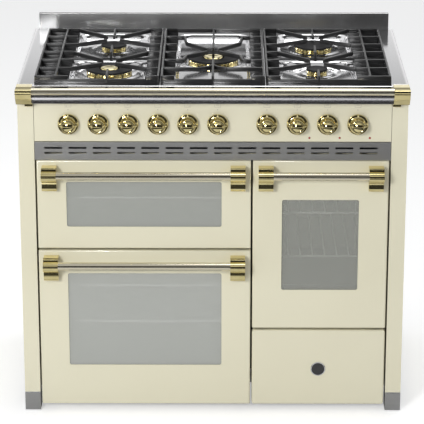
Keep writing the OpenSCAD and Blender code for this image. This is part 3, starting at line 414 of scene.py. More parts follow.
lid_enamel = dark_coat("lid_enamel", (0.009, 0.009, 0.01), (0.017, 0.017, 0.017), 0.5, 0.15, 24,
                       (900, 3), 0.0001, 0.6, ior=1.35, specular_ior_level=0.3)
cast_iron = dark_coat("cast_iron", (0.008, 0.008, 0.009), (0.016, 0.016, 0.016), 0.32, 0.18, 30,
                      (420, 4, (1, 1, 1), 0.6), 0.00025, 0.5, coat_weight=0.3,
                      coat_roughness=0.22, ior=1.5)


# %% Speckled oven enamel
def speckled_enamel():
    """Dark blue grey, with pale specks where a fine cell pattern comes near its centres."""
    finish = Finish("oven_enamel", coat_weight=0.5, coat_roughness=0.1, ior=1.5)
    cells = finish.node("ShaderNodeTexVoronoi", {"feature": "F1"},
                        {"Vector": finish.place(), "Scale": 260.0})
    pick = finish.noise(90, 2)
    specks = (1 - cells * 6).clamped() * pick.above(0.5)
    finish.set(base_color=finish.mixed(specks, (0.018, 0.02, 0.028), (0.35, 0.36, 0.38)),
               roughness=0.3 + 0.1 * pick)
    return finish.relief(cells, 5e-5, 0.3).material


oven_enamel = speckled_enamel()

# %% [markdown]
# ## Metals
# Steel shows how it was worked. A brushed sheet has scratches far longer than wide, which a
# noise stretched along one axis gives. The hob's sheet is polished almost to a mirror. Brass
# is a mirror that warms what it reflects, and handling leaves it duller and darker in
# patches.


# %% Brushed and polished steel
def brushed(name, colour, worn, rough, stretch, depth, spread):
    """Lines are a stretched noise and the cloud a wide one; both move colour and roughness."""
    finish = Finish(name, metallic=1.0)
    lines = finish.noise(900, 4, stretch, 0.65)
    cloud = finish.noise(5, 3)
    finish.set(base_color=finish.mixed((lines * 0.7 + cloud * 0.5 - 0.1).clamped(), worn, colour),
               roughness=rough + spread[0] * (cloud - 0.5) + spread[1] * (lines - 0.5))
    return finish.relief(lines, depth, 0.5).material


def grey(level, blue=0.01):
    return level, level, level + blue


ALONG_X = (0.01, 1, 1)
STEELS = {
    "brushed_steel": (grey(0.5, 0), grey(0.42, 0), 0.5, (0.012, 1, 1), 6e-6, (0.06, 0.06)),
    "hob_steel": (grey(0.82), grey(0.76), 0.12, (0.02, 1, 1), 2e-6, (0.04, 0.03)),
    "polished_steel": (grey(0.8), grey(0.72), 0.09, ALONG_X, 4e-6, (0.04, 0.05)),
    "apron_steel": ((0.84, 0.83, 0.85), (0.76, 0.75, 0.77), 0.14, ALONG_X, 3e-6, (0.05, 0.04)),
    # The warm tint on the next line is a painted reflection of the cream fronts and warm
    # surroundings, worn by the nose and the handle bars.
    "painted_warm_steel": ((0.86, 0.81, 0.66), (0.78, 0.72, 0.56), 0.07, ALONG_X, 3e-6, (0.03, 0.03)),
    "upstand_steel": (grey(0.48, 0), grey(0.32, 0), 0.3, (1, 1, 0.03), 8e-6, (0.1, 0.1)),
    "inner_steel": (grey(0.5), grey(0.4), 0.34, (1, 1, 0.02), 2e-5, (0.14, 0.1)),
}
steel = {name: brushed(name, *values) for name, values in STEELS.items()}


# %% Brass
def aged_brass():
    finish = Finish("brass", metallic=1.0)
    cloud = finish.noise(26, 4, rough=0.6)
    fine = finish.noise(700, 3)
    dull = (cloud * 2.2 - 0.75).clamped()
    finish.set(base_color=finish.mixed(dull, (0.87, 0.76, 0.41), (0.7, 0.6, 0.28)),
               roughness=0.05 + 0.05 * dull + 0.02 * fine)
    return finish.relief(fine, 4e-6, 0.4).material


brass = aged_brass()


# %% Zinc coated sheet, with its large flat crystals
def spangled_zinc():
    finish = Finish("galvanised_steel", metallic=1.0)
    spangle = finish.node("ShaderNodeTexVoronoi", {"feature": "F1"},
                          {"Vector": finish.place(), "Scale": 70.0}, 1)
    tone = finish.node("ShaderNodeSeparateColor", None, {0: spangle})
    finish.set(base_color=finish.mixed(tone, (0.44, 0.46, 0.48), (0.6, 0.62, 0.64)),
               roughness=0.34 + 0.16 * tone)
    return finish.relief(tone, 1e-5, 0.4).material


galvanised_steel = spangled_zinc()


# %% Glass, wires, lenses, ceramic, painted seam shade and paint
def oven_glass(name, colour, alpha):
    """Glass with a pale coating that covers a part of what lies behind it, given by alpha."""
    finish = Finish(name, ior=1.5, coat_weight=0.4, coat_roughness=0.02)
    film = finish.noise(7, 3)
    finish.set(base_color=finish.mixed(film, colour, tuple(0.93 * c for c in colour)),
               roughness=0.1 + 0.08 * film, alpha=alpha + 0.03 * film)
    return finish.material


# One glass in three tints: painted lighter on the lower door as a painted reflection, and darker
# on the tall oven as painted shade.
painted_pane_tint = {"upper": (0.72, 0.74, 0.69), "lower": (0.82, 0.84, 0.79), "right": (0.55, 0.56, 0.51)}
outer_glass = {column: oven_glass("glass_" + column, tint, 0.35)
               for column, tint in painted_pane_tint.items()}
inner_glass = oven_glass("inner_glass", (0.3, 0.31, 0.29), 0.1)


def grained(name, colour, other, rough, scale, depth, **constants):
    finish = Finish(name, **constants)
    grain = finish.noise(scale, 3)
    finish.set(base_color=finish.mixed(grain, colour, other), roughness=rough + 0.1 * grain)
    return finish.relief(grain, depth, 0.4).material


rack_wire = grained("rack_wire", (0.86, 0.86, 0.84), (0.78, 0.78, 0.76), 0.3, 500, 1e-5)
red_lens = grained("red_lens", (0.42, 0.012, 0.01), (0.3, 0.008, 0.008), 0.1, 200, 1e-5,
                   coat_weight=1.0, coat_roughness=0.03)
ceramic = grained("ceramic", (0.78, 0.76, 0.72), (0.7, 0.68, 0.63), 0.35, 300, 3e-5)
# A black used only for the strips of painted shade in the door seams.
seam_shade_black = grained("painted_seam_shade", (0.02, 0.02, 0.02), (0.03, 0.03, 0.03), 0.7, 400, 8e-5)
sign_paint = grained("sign_paint", (0.46, 0.43, 0.38), (0.42, 0.39, 0.34), 0.5, 300, 1e-5)
print("finishes:", len(bpy.data.materials))

# %% [markdown]
# ## Finishes on the packed parts
# Most sheets of the cabinet are right as they are. The ones with bends or round bars get a
# smooth copy, and flat ones keep their own mesh.

# %% Dress the cabinet
COLUMNS = ("upper", "lower", "right")
SMOOTH = {
    "cream_enamel": (cream_enamel, ["face_frame", "control_fascia", "door_upper", "door_lower",
                                    "door_right", "drawer_front"]),
    "brushed_steel": (steel["brushed_steel"], ["vent_grille", "foot_covers"]),
    "polished_steel": (rack_wire, ["oven_racks", "levelling_feet"]),
    "oven_enamel": (oven_enamel, [f"oven_liner_{column}" for column in COLUMNS]),
    "black_enamel": (cast_iron, ["oven_elements"]),
    "ceramic": (ceramic, ["spark_plugs"]),
    "brass": (brass, ["taps_and_switches"]),
    "red_lens": (red_lens, ["indicator_lamps"]),
}
FLAT = {
    "cream_enamel": (cream_enamel, ["side_panel_left", "side_panel_right"]),
    "galvanised_steel": (galvanised_steel, ["base_frame", "back_panel", "drawer_box"]),
    "brushed_steel": (steel["inner_steel"], [f"door_inner_{column}" for column in COLUMNS]
                      + [f"gas_stem_{k}" for k in range(1, 6)]),
}
for give, parts in ((smooth_copy, SMOOTH), (dress, FLAT)):
    for slot, (finish, nodes) in parts.items():
        for node in nodes:
            give(node, finish, slot)
print("smooth copies:", sum(len(nodes) for _, nodes in SMOOTH.values()))

# %% [markdown]
# ## Panes
# Each door has two panes. The outer one has a pale coating that lets the racks show faintly;
# its tint is painted lighter on the lower door as a painted reflection and darker on the tall
# oven as painted shade. The inner one is almost clear. They are one part in the packed model,
# so both are made again here, each with its own glass.

# %% Two panes for each door
pane_t = 0.004
for column in COLUMNS:
    low, high = span(f"door_glass_{column}")
    body = f"{column}_oven_door"
    pane = rounded_outline(rectangle(low[0], high[0], low[2], high[2]), 0.005, 5)
    piece(f"outer_pane_{column}", body, outer_glass[column],
          pushed(pane, 1, low[1], low[1] + pane_t),
          replaces=(f"door_glass_{column}",), slot="glass")
    piece(f"inner_pane_{column}", body, inner_glass, pushed(pane, 1, high[1] - pane_t, high[1]),
          slot="glass")
    print(column, "panes:", np.round(high - low, 3)[[0, 2]].tolist(), "m")

# %% [markdown]
# ## Painted shade in the seams
# Between the doors the eye looks into a gap of a few millimetres, where only shade falls. Black
# strips stand in for that shade as painted shade, so each seam is a crisp dark line. A strip
# here is a thin plate on the frame, just behind the doors' backs, a little wider than its gap.
# The upright ones end above the foot of the lower door, which swings back there as the door opens.

# %% Strips behind the seams
frame_y = float(span("door_inner_upper")[1][1]) + 0.0012


def strip(x0, x1, z0, z1):
    """A plate 0.8 mm thick, between two X and two Z."""
    return pushed(rounded_outline(rectangle(x0, x1, z0, z1), 0.0015, 4), 1, frame_y,
                  frame_y + 0.0008)


wide, swing = 0.006, 0.086
(left_x0, _, left_foot), (left_x1, _, lower_top) = span("door_lower")
(right_x0, _, right_foot), (right_x1, _, _) = span("door_right")
(_, _, upper_foot), (_, _, doors_top) = span("door_upper")
print("gap between the columns:", round(float(right_x0 - left_x1) * 1000, 1), "mm")
foot_z, seam_top = left_foot + swing, doors_top - 0.001
# Black strips of painted shade in the seams between the doors.
piece("seam_shade_strips", "cabinet", seam_shade_black,
      strip(left_x1 - wide, right_x0 + wide, foot_z, seam_top),
      strip(left_x0 - 0.003, left_x0 + wide, foot_z, seam_top),
      strip(right_x1 - wide, right_x1 + 0.003, right_foot, seam_top),
      strip(left_x0, left_x1, lower_top - wide, upper_foot + wide),
      strip(right_x0, right_x1, span("drawer_front")[1][2] - 0.004, right_foot + wide),
      slot="black_enamel")

# %% [markdown]
# ## Knobs
# Each knob is a brass casting: a round skirt with three balls on it, a hub that flares into
# the skirt, a groove, a domed button and a pointer with a thin fin. The round parts are
# turned about the knob's axis; the rest are shells of their own sunk into them.


# %% The knob's shells
def knob_shells(node):
    """Profiles are radius and height in millimetres from the back face. The button is the cap
    of a sphere of 20 mm radius: height = 15 + sqrt(400 - r^2)."""
    low, high = span(node)
    centre = np.array([(low[0] + high[0]) / 2, low[1] + 0.035, (low[2] + high[2]) / 2])
    dome_r = np.array([12.2, 10, 8, 6, 4, 2, 0])
    dome = np.stack([dome_r, 15 + np.sqrt(400 - dome_r**2)], 1)
    profile = np.array([
        (0, 0), (26, 0), (26.8, 0.5), (27, 1.4), (27, 4.9), (26.7, 6), (25.9, 6.8), (24.6, 7),
        (22, 7.3), (20.3, 8.2), (19.2, 9.6), (18.4, 11.6), (17.9, 14.5), (17.6, 18), (17.7, 23),
        (18, 26.5), (18, 28), (17.5, 29.2), (16.4, 30), (14.6, 30.2), (13.4, 29.9), (12.7, 29.3),
        *dome.tolist()]) * 1e-3
    ball = np.array([(0, 6), (5.4, 6), (5.9, 7.6), (6, 9.2), (5.6, 11.1), (4.6, 12.6), (3.1, 13.6),
                     (1.5, 14), (0, 14)]) * 1e-3
    shells = [turned(profile, centre, (0, -1, 0), 96)]
    for x, z in ((-1, 0), (0, -1), (1, 0)):
        shells.append(turned(ball, centre + 0.0195 * np.array([x, 0, z]), (0, -1, 0), 32))
    blade = rounded_outline([(-0.002, 0.01), (0.002, 0.01), (0.0019, 0.027), (-0.0019, 0.027)],
                            [0.0004, 0.0004, 0.0018, 0.0018])
    shells.append(pushed(blade + centre[[0, 2]], 1, centre[1] - 0.0148, centre[1] - 0.006))
    fin = rounded_outline([(-0.007, 0.012), (-0.007, 0.0235), (-0.015, 0.0228), (-0.0165, 0.0203),
                           (-0.0245, 0.0198), (-0.0262, 0.0182), (-0.0262, 0.012)],
                          [0.0002, 0.001, 0.001, 0.002, 0.001, 0.001, 0.0002], 4)
    shells.append(pushed(fin + centre[[1, 2]], 0, centre[0] - 0.0014, centre[0] + 0.0014))
    return shells


for k in range(1, 11):
    node = f"knob_{k}"
    piece(f"knob_{k}_brass", body_of_node(node), brass, *knob_shells(node), replaces=(node,),
          angle=32, bevel=0.0004, slot="brass")
print("knobs at X:", [round(float(sum(span(f"knob_{k}"))[0]) / 2, 4) for k in range(1, 11)])

# %% [markdown]
# ## Handles
# A handle is a polished bar held by two brass blocks. A block seen from the side has a flat
# top, a front that leans back a little, a round bulge, a thin bead and a lower step. The
# outline is drawn once from the side and pushed across, and a bevel softens its edges.


# %% Handle bars and end blocks
def block_side(bar_y, bar_z, door_y, low_z, high_z):
    """The block's side in metres: a front that leans back above, a bulge of 13 mm about a point
    near the bar, a thin bead between two grooves, and a step that rolls under."""
    face_y, step_y, r = bar_y - 0.002, door_y - 0.0245, 0.0132
    centre = np.array([bar_y - 0.003, bar_z - 0.0008])
    t = np.linspace(0.476 * np.pi, 1.6 * np.pi, 26)[:, None]
    bulge = centre + r * np.hstack([np.cos(t), np.sin(t)])
    t = np.linspace(0.55 * np.pi, 1.45 * np.pi, 9)[:, None]
    bead = np.array([step_y, bar_z - 0.0175]) + 0.0025 * np.hstack([np.cos(t), np.sin(t)])
    grooves = np.array([(step_y + 0.0006, bar_z - 0.0146), (step_y + 0.0006, bar_z - 0.0206)])
    rest = rounded_outline([(step_y + 0.001, bar_z - 0.0208), (step_y, bar_z - 0.021),
                            (step_y, low_z), (door_y, low_z), (door_y, high_z),
                            (face_y + 0.001, high_z)],
                           [0.0001, 0.0004, 0.01, 0.0003, 0.0003, 0.0012], 6)
    return np.concatenate([bulge, grooves[:1], bead, grooves[1:], rest])


block_w = 0.0385
for column in COLUMNS:
    body = f"{column}_oven_door"
    ends_low, ends_high = span(f"handle_ends_{column}")
    bar_low, bar_high = span(f"handle_bar_{column}")
    bar_y, bar_z = (bar_low[1:] + bar_high[1:]) / 2
    radius = (bar_high[2] - bar_low[2]) / 2
    side = block_side(bar_y, bar_z, ends_high[1], ends_low[2], ends_high[2])
    piece(f"handle_blocks_{column}", body, brass,
          pushed(side, 0, ends_low[0], ends_low[0] + block_w),
          pushed(side, 0, ends_high[0] - block_w, ends_high[0]),
          replaces=(f"handle_ends_{column}",), angle=38, bevel=0.0009, slot="brass")
    length = bar_high[0] - bar_low[0]
    bar = [(0, 0), (radius, 0), (radius, length), (0, length)]
    # The bar's steel is tinted warm as a painted reflection of the cream door.
    piece(f"handle_tube_{column}", body, steel["painted_warm_steel"],
          turned(bar, (bar_low[0], bar_y, bar_z), (1, 0, 0), 96),
          replaces=(f"handle_bar_{column}",), slot="polished_steel")
    print(column, "handle bar is", round(float(length), 3), "m long")

# %% [markdown]
# ## The front moulding and its corner caps
# The worktop ends in a round polished nose with a set back apron under it, and a brass cap
# closes it at each corner. All are outlines pushed along the front, and their corners become
# arcs, so each fold of the metal catches a line of light.

# %% Front moulding
low, high = span("front_moulding")
nose = 0.018
t = np.linspace(0.5 * np.pi, 1.5 * np.pi, 40)
nose_outline = np.stack([low[1] + nose / 2 + nose / 2 * np.cos(t),
                         high[2] - nose / 2 + nose / 2 * np.sin(t)], 1)
apron_y, lip_z = low[1] + 0.016, high[2] - nose
nose_back = np.array([(high[1], lip_z), (high[1], high[2])])
nose_side = np.concatenate([nose_outline, nose_back])
# The nose's steel is tinted warm as a painted reflection of the cream fronts.
piece("rolled_nose", "cabinet", steel["painted_warm_steel"], pushed(nose_side, 0, low[0], high[0]),
      replaces=("front_moulding",), angle=30, slot="polished_steel")
lap_z = lip_z + 0.0006
apron = rounded_outline([(apron_y, lap_z), (apron_y, low[2]), (high[1], low[2]), (high[1], lap_z)],
                        [0.0002, 0.0012, 0.0002, 0.0002], 4)
piece("apron", "cabinet", steel["apron_steel"], pushed(apron, 0, low[0], high[0]), angle=30,
      slot="polished_steel")

# %% Corner caps
corner_low, corner_high = span("corner_caps")
cap_w = 0.0405
front, top, bottom = corner_low[1], corner_high[2], corner_low[2] + 0.012
corners = np.array([
    (corner_high[1], top, 0.0003), (front, top, 0.0025), (front, top - 0.012, 0.0022),
    (front + 0.004, top - 0.013, 0.001), (front + 0.008, top - 0.025, 0.002),
    (front + 0.011, top - 0.026, 0.001), (front + 0.024, bottom + 0.001, 0.0006),
    (front + 0.024, bottom, 0.0003), (corner_high[1], bottom, 0.0003)])
cap_side = rounded_outline(corners[:, :2], corners[:, 2])
tab = rounded_outline(rectangle(front + 0.046, front + 0.06, bottom - 0.012, bottom + 0.002),
                      [0.0015, 0.0002, 0.0002, 0.0002], 4)
piece("corner_cap_pair", "cabinet", brass,
      pushed(cap_side, 0, corner_low[0], corner_low[0] + cap_w),
      pushed(cap_side, 0, corner_high[0] - cap_w, corner_high[0]),
      pushed(tab, 0, corner_low[0] + cap_w / 2, corner_low[0] + cap_w),
      pushed(tab, 0, corner_high[0] - cap_w, corner_high[0] - cap_w / 2),
      replaces=("corner_caps",), angle=40, bevel=0.0008, slot="brass")
print("cap depth:", round(float(corner_high[1] - front), 3))

# %% [markdown]
# ## The hob
# The worktop is one pressed sheet: five wells sink 13 mm, and low rings are raised round the
# burners. A height field suits it, because every point of the sheet has one height. The grid
# lines are set close together at the walls of the wells and wide apart elsewhere. The sheet
# stops at the brass caps, so the faces of the grid that lie there are left out. Places from
# front to back are told in rungs of the pan supports, as they stand over the burners.

# %% Read the hob's plan from the packed parts
plan_low, plan_high = span("hob_top")
lid_width = np.array([122, 70, 137, 103, 57]) / 1000
inner_width = np.array([46, 0, 51, 0, 0]) / 1000
front_at, middle_at, back_at = 1.8, 3.225, 4.82
sink = 0.013
top_z = float(span("backguard")[0][2])
floor_z = top_z - sink
support_low, support_high = span("pan_support_left")
centre_low, centre_high = span("pan_support_centre")
iron_top = float(support_high[2])
half_bar = 0.0035
first_rung = float(support_low[1] + half_bar)
pitch = float(support_high[1] - support_low[1] - 2 * half_bar) / 6
inner_edge = -centre_low[0] + 0.002
comb_x, outer_x = inner_edge + 0.037, -support_low[0] - 0.086
side_burner_x = float((comb_x + outer_x) / 2)


def rung(k):
    """Y of rung k, counted from the front; between two rungs for a fraction."""
    return first_rung + k * pitch


burners = np.array([(-side_burner_x, rung(front_at)), (-side_burner_x, rung(back_at)),
                    (0, rung(middle_at)),
                    (side_burner_x, rung(back_at)), (side_burner_x, rung(front_at))])
split, ridge = rung(2.95), rung(2.84)
print("burners at:", np.round(burners, 4).tolist())


# %% Heights of the pressed sheet
def well_depth(x, y, x0, x1, y0, y1, corner=0.034, wall=0.01):
    """Depth from 0 to 1 of a rounded rectangle: the distance inside its edge over the wall's
    width, with both bends eased by 3 s^2 - 2 s^3."""
    dx = np.abs(x - (x0 + x1) / 2) - (x1 - x0) / 2 + corner
    dy = np.abs(y - (y0 + y1) / 2) - (y1 - y0) / 2 + corner
    outside = (np.hypot(np.maximum(dx, 0), np.maximum(dy, 0))
               + np.minimum(np.maximum(dx, dy), 0) - corner)
    s = np.clip(-outside / wall, 0, 1)
    return s * s * (3 - 2 * s)


first_y, last_y, half_ridge = first_rung + 0.006, first_rung + 0.522, 0.019
centre_half, side_start = 0.098, 0.172
ridge_front, ridge_back = ridge - half_ridge, ridge + half_ridge
wells = [(-centre_half, centre_half, first_y, last_y)]
for sign in (-1, 1):
    x0, x1 = sorted((sign * side_start, sign * outer_x))
    wells += [(x0, x1, first_y, ridge_front), (x0, x1, ridge_back, last_y)]


def lines(start, end, marks, edges, near=0.0016, far=0.007):
    """Grid lines from start to end: close together within 15 mm of each mark, and one line
    exactly on each edge."""
    close = [np.arange(mark - 0.015, mark + 0.0151, near) for mark in marks]
    every = np.concatenate([np.arange(start, end, far), [end], *close])
    every = np.unique(np.round(every, 5))
    every = every[(every >= start) & (every <= end)]
    every = every[np.r_[True, np.diff(every) > 0.0006]]
    for edge in edges:
        every = np.r_[every[np.abs(every - edge) > 0.0006], edge]
    return np.sort(every)


cap_x = corner_high[0] - cap_w
walls = [sign * x for sign in (-1, 1) for x in (centre_half, side_start, outer_x)]
x_line = lines(plan_low[0] + 0.003, plan_high[0] - 0.003, walls, [-cap_x, cap_x])
y_line = lines(plan_low[1], plan_high[1] - 0.003, [first_y, ridge_front, ridge_back, last_y],
               [corner_high[1]])
bend = np.array([0, 0.0006, 0.0018])
x_line = np.r_[plan_low[0], plan_low[0] + bend, x_line, plan_high[0] - bend[::-1], plan_high[0]]
y_line = np.r_[y_line, plan_high[1] - bend[::-1], plan_high[1]]
bend_drop = np.array([top_z - plan_low[2], 0.003, 0.0013, 0.0004])
x_drop, y_drop = np.zeros(len(x_line)), np.zeros(len(y_line))
x_drop[:4], x_drop[-4:], y_drop[-4:] = bend_drop, bend_drop[::-1], bend_drop[::-1]
X, Y = np.meshgrid(x_line, y_line, indexing="ij")
depth = sink * sum(well_depth(X, Y, *well) for well in wells)
for (bx, by), lid in zip(burners, lid_width):
    beyond = np.hypot(X - bx, Y - by) - lid / 2
    depth -= 0.0022 * np.exp(-(((beyond - 0.014) / 0.004) ** 2)) * (depth > 0.009)
    depth += 0.0012 * np.exp(-(((beyond - 0.022) / 0.003) ** 2)) * (depth > 0.009)
Z = top_z - depth - np.maximum(x_drop[:, None], y_drop[None, :])
sheet = np.stack([X, Y, Z], -1).reshape(-1, 3)
quads = grid_faces(*X.shape)
middle = sheet[quads].mean(1)
quads = quads[~((np.abs(middle[:, 0]) > cap_x) & (middle[:, 1] < corner_high[1]))]
piece("pressed_hob", "cabinet", steel["hob_steel"], (sheet, quads, []), replaces=("hob_top",),
      angle=60, slot="brushed_steel")
hob = bpy.data.objects["pressed_hob"]
if hob.data.polygons[len(hob.data.polygons) // 2].normal.z < 0:
    hob.data.flip_normals()
metal = hob.modifiers.new("sheet", "SOLIDIFY")
metal.thickness, metal.offset = 0.0013, -1
print("hob grid:", X.shape)

# %% [markdown]
# ## Burners
# Every burner is a brass ring with flame ports under an enamelled cap. The ports are narrow
# cuts, so the ring's radius steps in and out round it. Two of the burners are double rings
# with a small brass cap in the middle, and the inner ring runs down to the cup's floor.


# %% Rings, caps and centre caps
def port_ring(centre, radius, wall, low, high, ports):
    """A ring whose outer face steps in by 2.5 mm at each port, in its upper band only."""
    steps = ports * 6
    k = np.arange(steps) % 6
    cut = np.where((k == 0) | (k == 5), 0.0, 1.0)
    rows = np.array([(radius - wall, low, 0), (radius - 0.001, low, 0), (radius, low + 0.001, 0),
                     (radius, high - 0.0045, 0), (radius, high - 0.0042, 1), (radius, high, 1),
                     (radius - wall, high, 0)])
    t = np.arange(steps) * 2 * np.pi / steps
    r = rows[:, 0][:, None] - 0.0025 * rows[:, 2][:, None] * (1 - cut)[None, :]
    points = np.stack([centre[0] + r * np.cos(t), centre[1] + r * np.sin(t),
                       np.broadcast_to(rows[:, 1][:, None], r.shape)], -1)
    return points.reshape(-1, 3), grid_faces(len(rows), steps, True, True), []


def upright(profile, at, base, steps=96, closed=False):
    """A profile of radius and height above the base, turned about the upright line there."""
    return turned(profile, (*at, base), (0, 0, 1), steps, closed)


rings, lids, wok_lids = [], [], []
cap_z = float(span("burner_caps")[0][2])
ports_per_metre = 620
for at, lid, inner in zip(burners, lid_width, inner_width):
    r, cup, hub = lid / 2, lid * 0.3, inner / 2
    rings += [port_ring(at, r - 0.002, 0.007, floor_z + 0.002, cap_z, round(r * ports_per_metre)),
              upright([(0, -0.021), (cup, -0.022), (cup, 0), (r - 0.003, 0), (r - 0.002, 0.001),
                       (r - 0.002, 0.0022), (r - 0.01, 0.003), (0, 0.003)], at, floor_z)]
    rim = [(r - 0.0022, 0), (r, 0.0012), (r, 0.003), (r - 0.0008, 0.0046), (r - 0.0026, 0.005),
           (r - 0.007, 0.0049), (r - 0.01, 0.0043)]
    if inner:
        hole = hub + 0.004
        rings.append(port_ring(at, hub - 0.0015, 0.006, floor_z - 0.02, cap_z, 14))
        lids.append(upright([(hole, 0), *rim, (hole + 0.003, 0.0043), (hole + 0.001, 0.0047),
                             (hole, 0.004)], at, cap_z, closed=True))
        wok_lids.append(upright([(0, 0), (hub, 0), (hub, 0.0045), (hub - 0.0015, 0.0058),
                                 (hub - 0.004, 0.006), (hub / 2, 0.0057), (0, 0.0055)],
                                at, cap_z, 64))
    else:
        lids.append(upright([(0, 0), *rim, (0, 0.0045)], at, cap_z))
piece("burner_brass", "cabinet", brass, *rings, replaces=("burner_rings",), slot="brass")
piece("burner_lids", "cabinet", lid_enamel, *lids, replaces=("burner_caps",), angle=50,
      slot="black_enamel")
piece("wok_lids", "cabinet", brass, *wok_lids, replaces=("wok_centre_caps",), angle=50,
      slot="brass")
print("burners:", len(lids), "ports on the widest:", round(lid_width.max() / 2 * ports_per_metre))

# %% [markdown]
# ## Pan supports
# The three cast iron supports are ladders of tapered bars with fingers that reach over the
# burners. Each bar is its own rounded shell, sunk a little into the next, as the thick
# fillets of a casting hide the joints. The rungs of the combs stand on the sheet.


# %% Bars of the supports
low_bar = iron_top - 0.011
front_tip = 0.085
rail_top, cross_top = iron_top - 0.009, top_z + 0.0035


def beams(*points):
    """Bars clear of the sheet, from each point to the next."""
    return [cast_bar(start, end, low_bar, iron_top) for start, end in zip(points, points[1:])]


def standing(start, end, top=iron_top):
    return cast_bar(start, end, top_z, top)


def foot(start, end):
    """The narrower bar under a rung, down to the sheet."""
    return cast_bar(start, end, top_z, low_bar + 0.0008, 0.0062)


def side_rail(x):
    return standing((x, rung(0) - half_bar), (x, rung(6) + half_bar))


def comb(outside, inside, skip=()):
    """Seven rungs from one X to the other, each a bar on a narrower foot."""
    ends = [((outside, rung(k)), (inside, rung(k))) for k in range(7) if k not in skip]
    return [bar for pair in ends for bar in beams(*pair)] + [foot(*pair) for pair in ends]


def post_and_finger(x, y, end_y):
    """A full post on the rail, and the finger that leaves it."""
    return [standing((x, y - half_bar), (x, y + half_bar)), *beams((x, y), (x, end_y))]


def side_support():
    """The right hand support; the left is its mirror image."""
    out, second = -support_low[0] - half_bar, -support_low[0] - 0.054
    inner, bx, tip = inner_edge + half_bar, side_burner_x, 0.018
    shells = [side_rail(out), *beams((second, rung(0)), (second, rung(6))), side_rail(inner),
              *beams((inner, rung(6)), (out, rung(6))),
              standing((inner, rung(0)), (out, rung(0)), rail_top),
              standing((inner, split), (out, split), cross_top),
              *beams((bx, rung(6)), (bx, rung(back_at) + tip))]
    for k, at in ((2, front_at), (5, back_at)):
        for sx, sy in ((-1, -1), (-1, 1), (1, -1), (1, 1)):
            shells += beams((bx + sx * (outer_x - bx), rung(k + sy)),
                            (bx + sx * tip, rung(at) + sy * tip))
    shells += comb(out, outer_x) + comb(inner, comb_x)
    for y, at in ((rung(0), front_at), (split, back_at)):
        shells += post_and_finger(bx, y, rung(at) - front_tip)
    return shells


def mirrored(shells):
    """X changes sign; the normals are set right when the piece is made."""
    return [(points * np.array([-1, 1, 1]), faces, caps) for points, faces, caps in shells]


for side, shells in (("right", side_support()), ("left", mirrored(side_support()))):
    piece(f"cast_support_{side}", "cabinet", cast_iron, *shells,
          replaces=(f"pan_support_{side}",), slot="cast_iron")


# %% The centre support
def centre_support():
    """Combs at both sides and four kinked fingers round the large burner."""
    out, inside = centre_high[0] - half_bar, centre_high[0] - 0.036
    middle, tip = rung(middle_at), 0.015
    half = [side_rail(out), *beams((0, rung(6)), (out, rung(6))),
            standing((0, rung(0)), (out, rung(0)), rail_top)]
    for k, way, reach in ((2, 1, 0.045), (5, -1, 0.068)):
        half += beams((inside, rung(k)), (0.078, rung(k)), (0.071, rung(k) + way * reach),
                      (tip, middle - way * (tip - 0.004)))
    half += beams((out, rung(1)), (0.036, rung(1)), (0.011, rung(1) + 0.014),
                  (-0.001, rung(1) + 0.034))
    half += comb(out, inside, skip=(1,)) + [foot((out, rung(1)), (inside, rung(1)))]
    return (half + mirrored(half) + post_and_finger(0, rung(0), middle - front_tip - 0.006)
            + beams((0, rung(6)), (0, middle + tip + 0.005)))


piece("cast_support_centre", "cabinet", cast_iron, *centre_support(),
      replaces=("pan_support_centre",), slot="cast_iron")
print("rungs at Y:", [round(rung(k), 4) for k in range(7)])

# %% [markdown]
# ## Rear upstand and drawer disc
# The upstand is a folded steel sheet with rounded folds. The drawer carries a plain disc,
# dark in a bright rim.

# %% Upstand
low, high = span("backguard")
inset = 0.013
fold = rounded_outline(rectangle(low[1], high[1], low[2], high[2]),
                       [0.0002, 0.0002, 0.003, 0.003], 6)
piece("rear_upstand", "cabinet", steel["upstand_steel"],
      pushed(fold, 0, low[0] + inset, high[0] - inset),
      replaces=("backguard",), angle=30, slot="brushed_steel")

# %% Disc
low, high = span("drawer_badge")
centre = ((low[0] + high[0]) / 2, high[1], (low[2] + high[2]) / 2)
r = (high[0] - low[0]) / 2
face = [(0, 0), (r - 0.002, 0), (r - 0.002, 0.0016), (r - 0.004, 0.0019), (0, 0.0021)]
rim = [(r - 0.002, 0), (r, 0.0002), (r, 0.0016), (r - 0.001, 0.0024), (r - 0.0024, 0.0022),
       (r - 0.0028, 0.0012)]
piece("plain_disc", "storage_drawer", black_enamel, turned(face, centre, (0, -1, 0), 96),
      replaces=("drawer_badge",), slot="black_enamel")
piece("disc_rim", "storage_drawer", steel["polished_steel"],
      turned(rim, centre, (0, -1, 0), 96, closed=True), slot="polished_steel")
print("disc radius:", round(float(r) * 1000, 1), "mm")

# %% [markdown]
# ## Signs on the control panel
# Over each gas knob a small square stands for the hob, with one dot for the burner it
# works. Oven knobs have ticks round them. They are films of paint, a tenth of a millimetre
# proud, so they are thin plates on the panel's face.

# %% Paint plates
panel_y = float(span("control_fascia")[0][1])
film = 0.00012


def plate(x0, x1, z0, z1):
    return pushed(rectangle(x0, x1, z0, z1), 1, panel_y - film, panel_y)


def dot(x, z, r):
    return turned([(0, 0), (r, 0), (r, film), (0, film)], (x, panel_y, z), (0, -1, 0), 20)


def tick(x, z, angle, near, far, half=0.00035):
    """A short line from near to far from the centre, at an angle from straight up."""
    along, across = np.array([[np.sin(angle), np.cos(angle)], [np.cos(angle), -np.sin(angle)]])
    ends = ((near, -half), (near, half), (far, half), (far, -half))
    corners = np.array([along * out + across * aside for out, aside in ends])
    return pushed(corners + np.array([x, z]), 1, panel_y - film, panel_y)


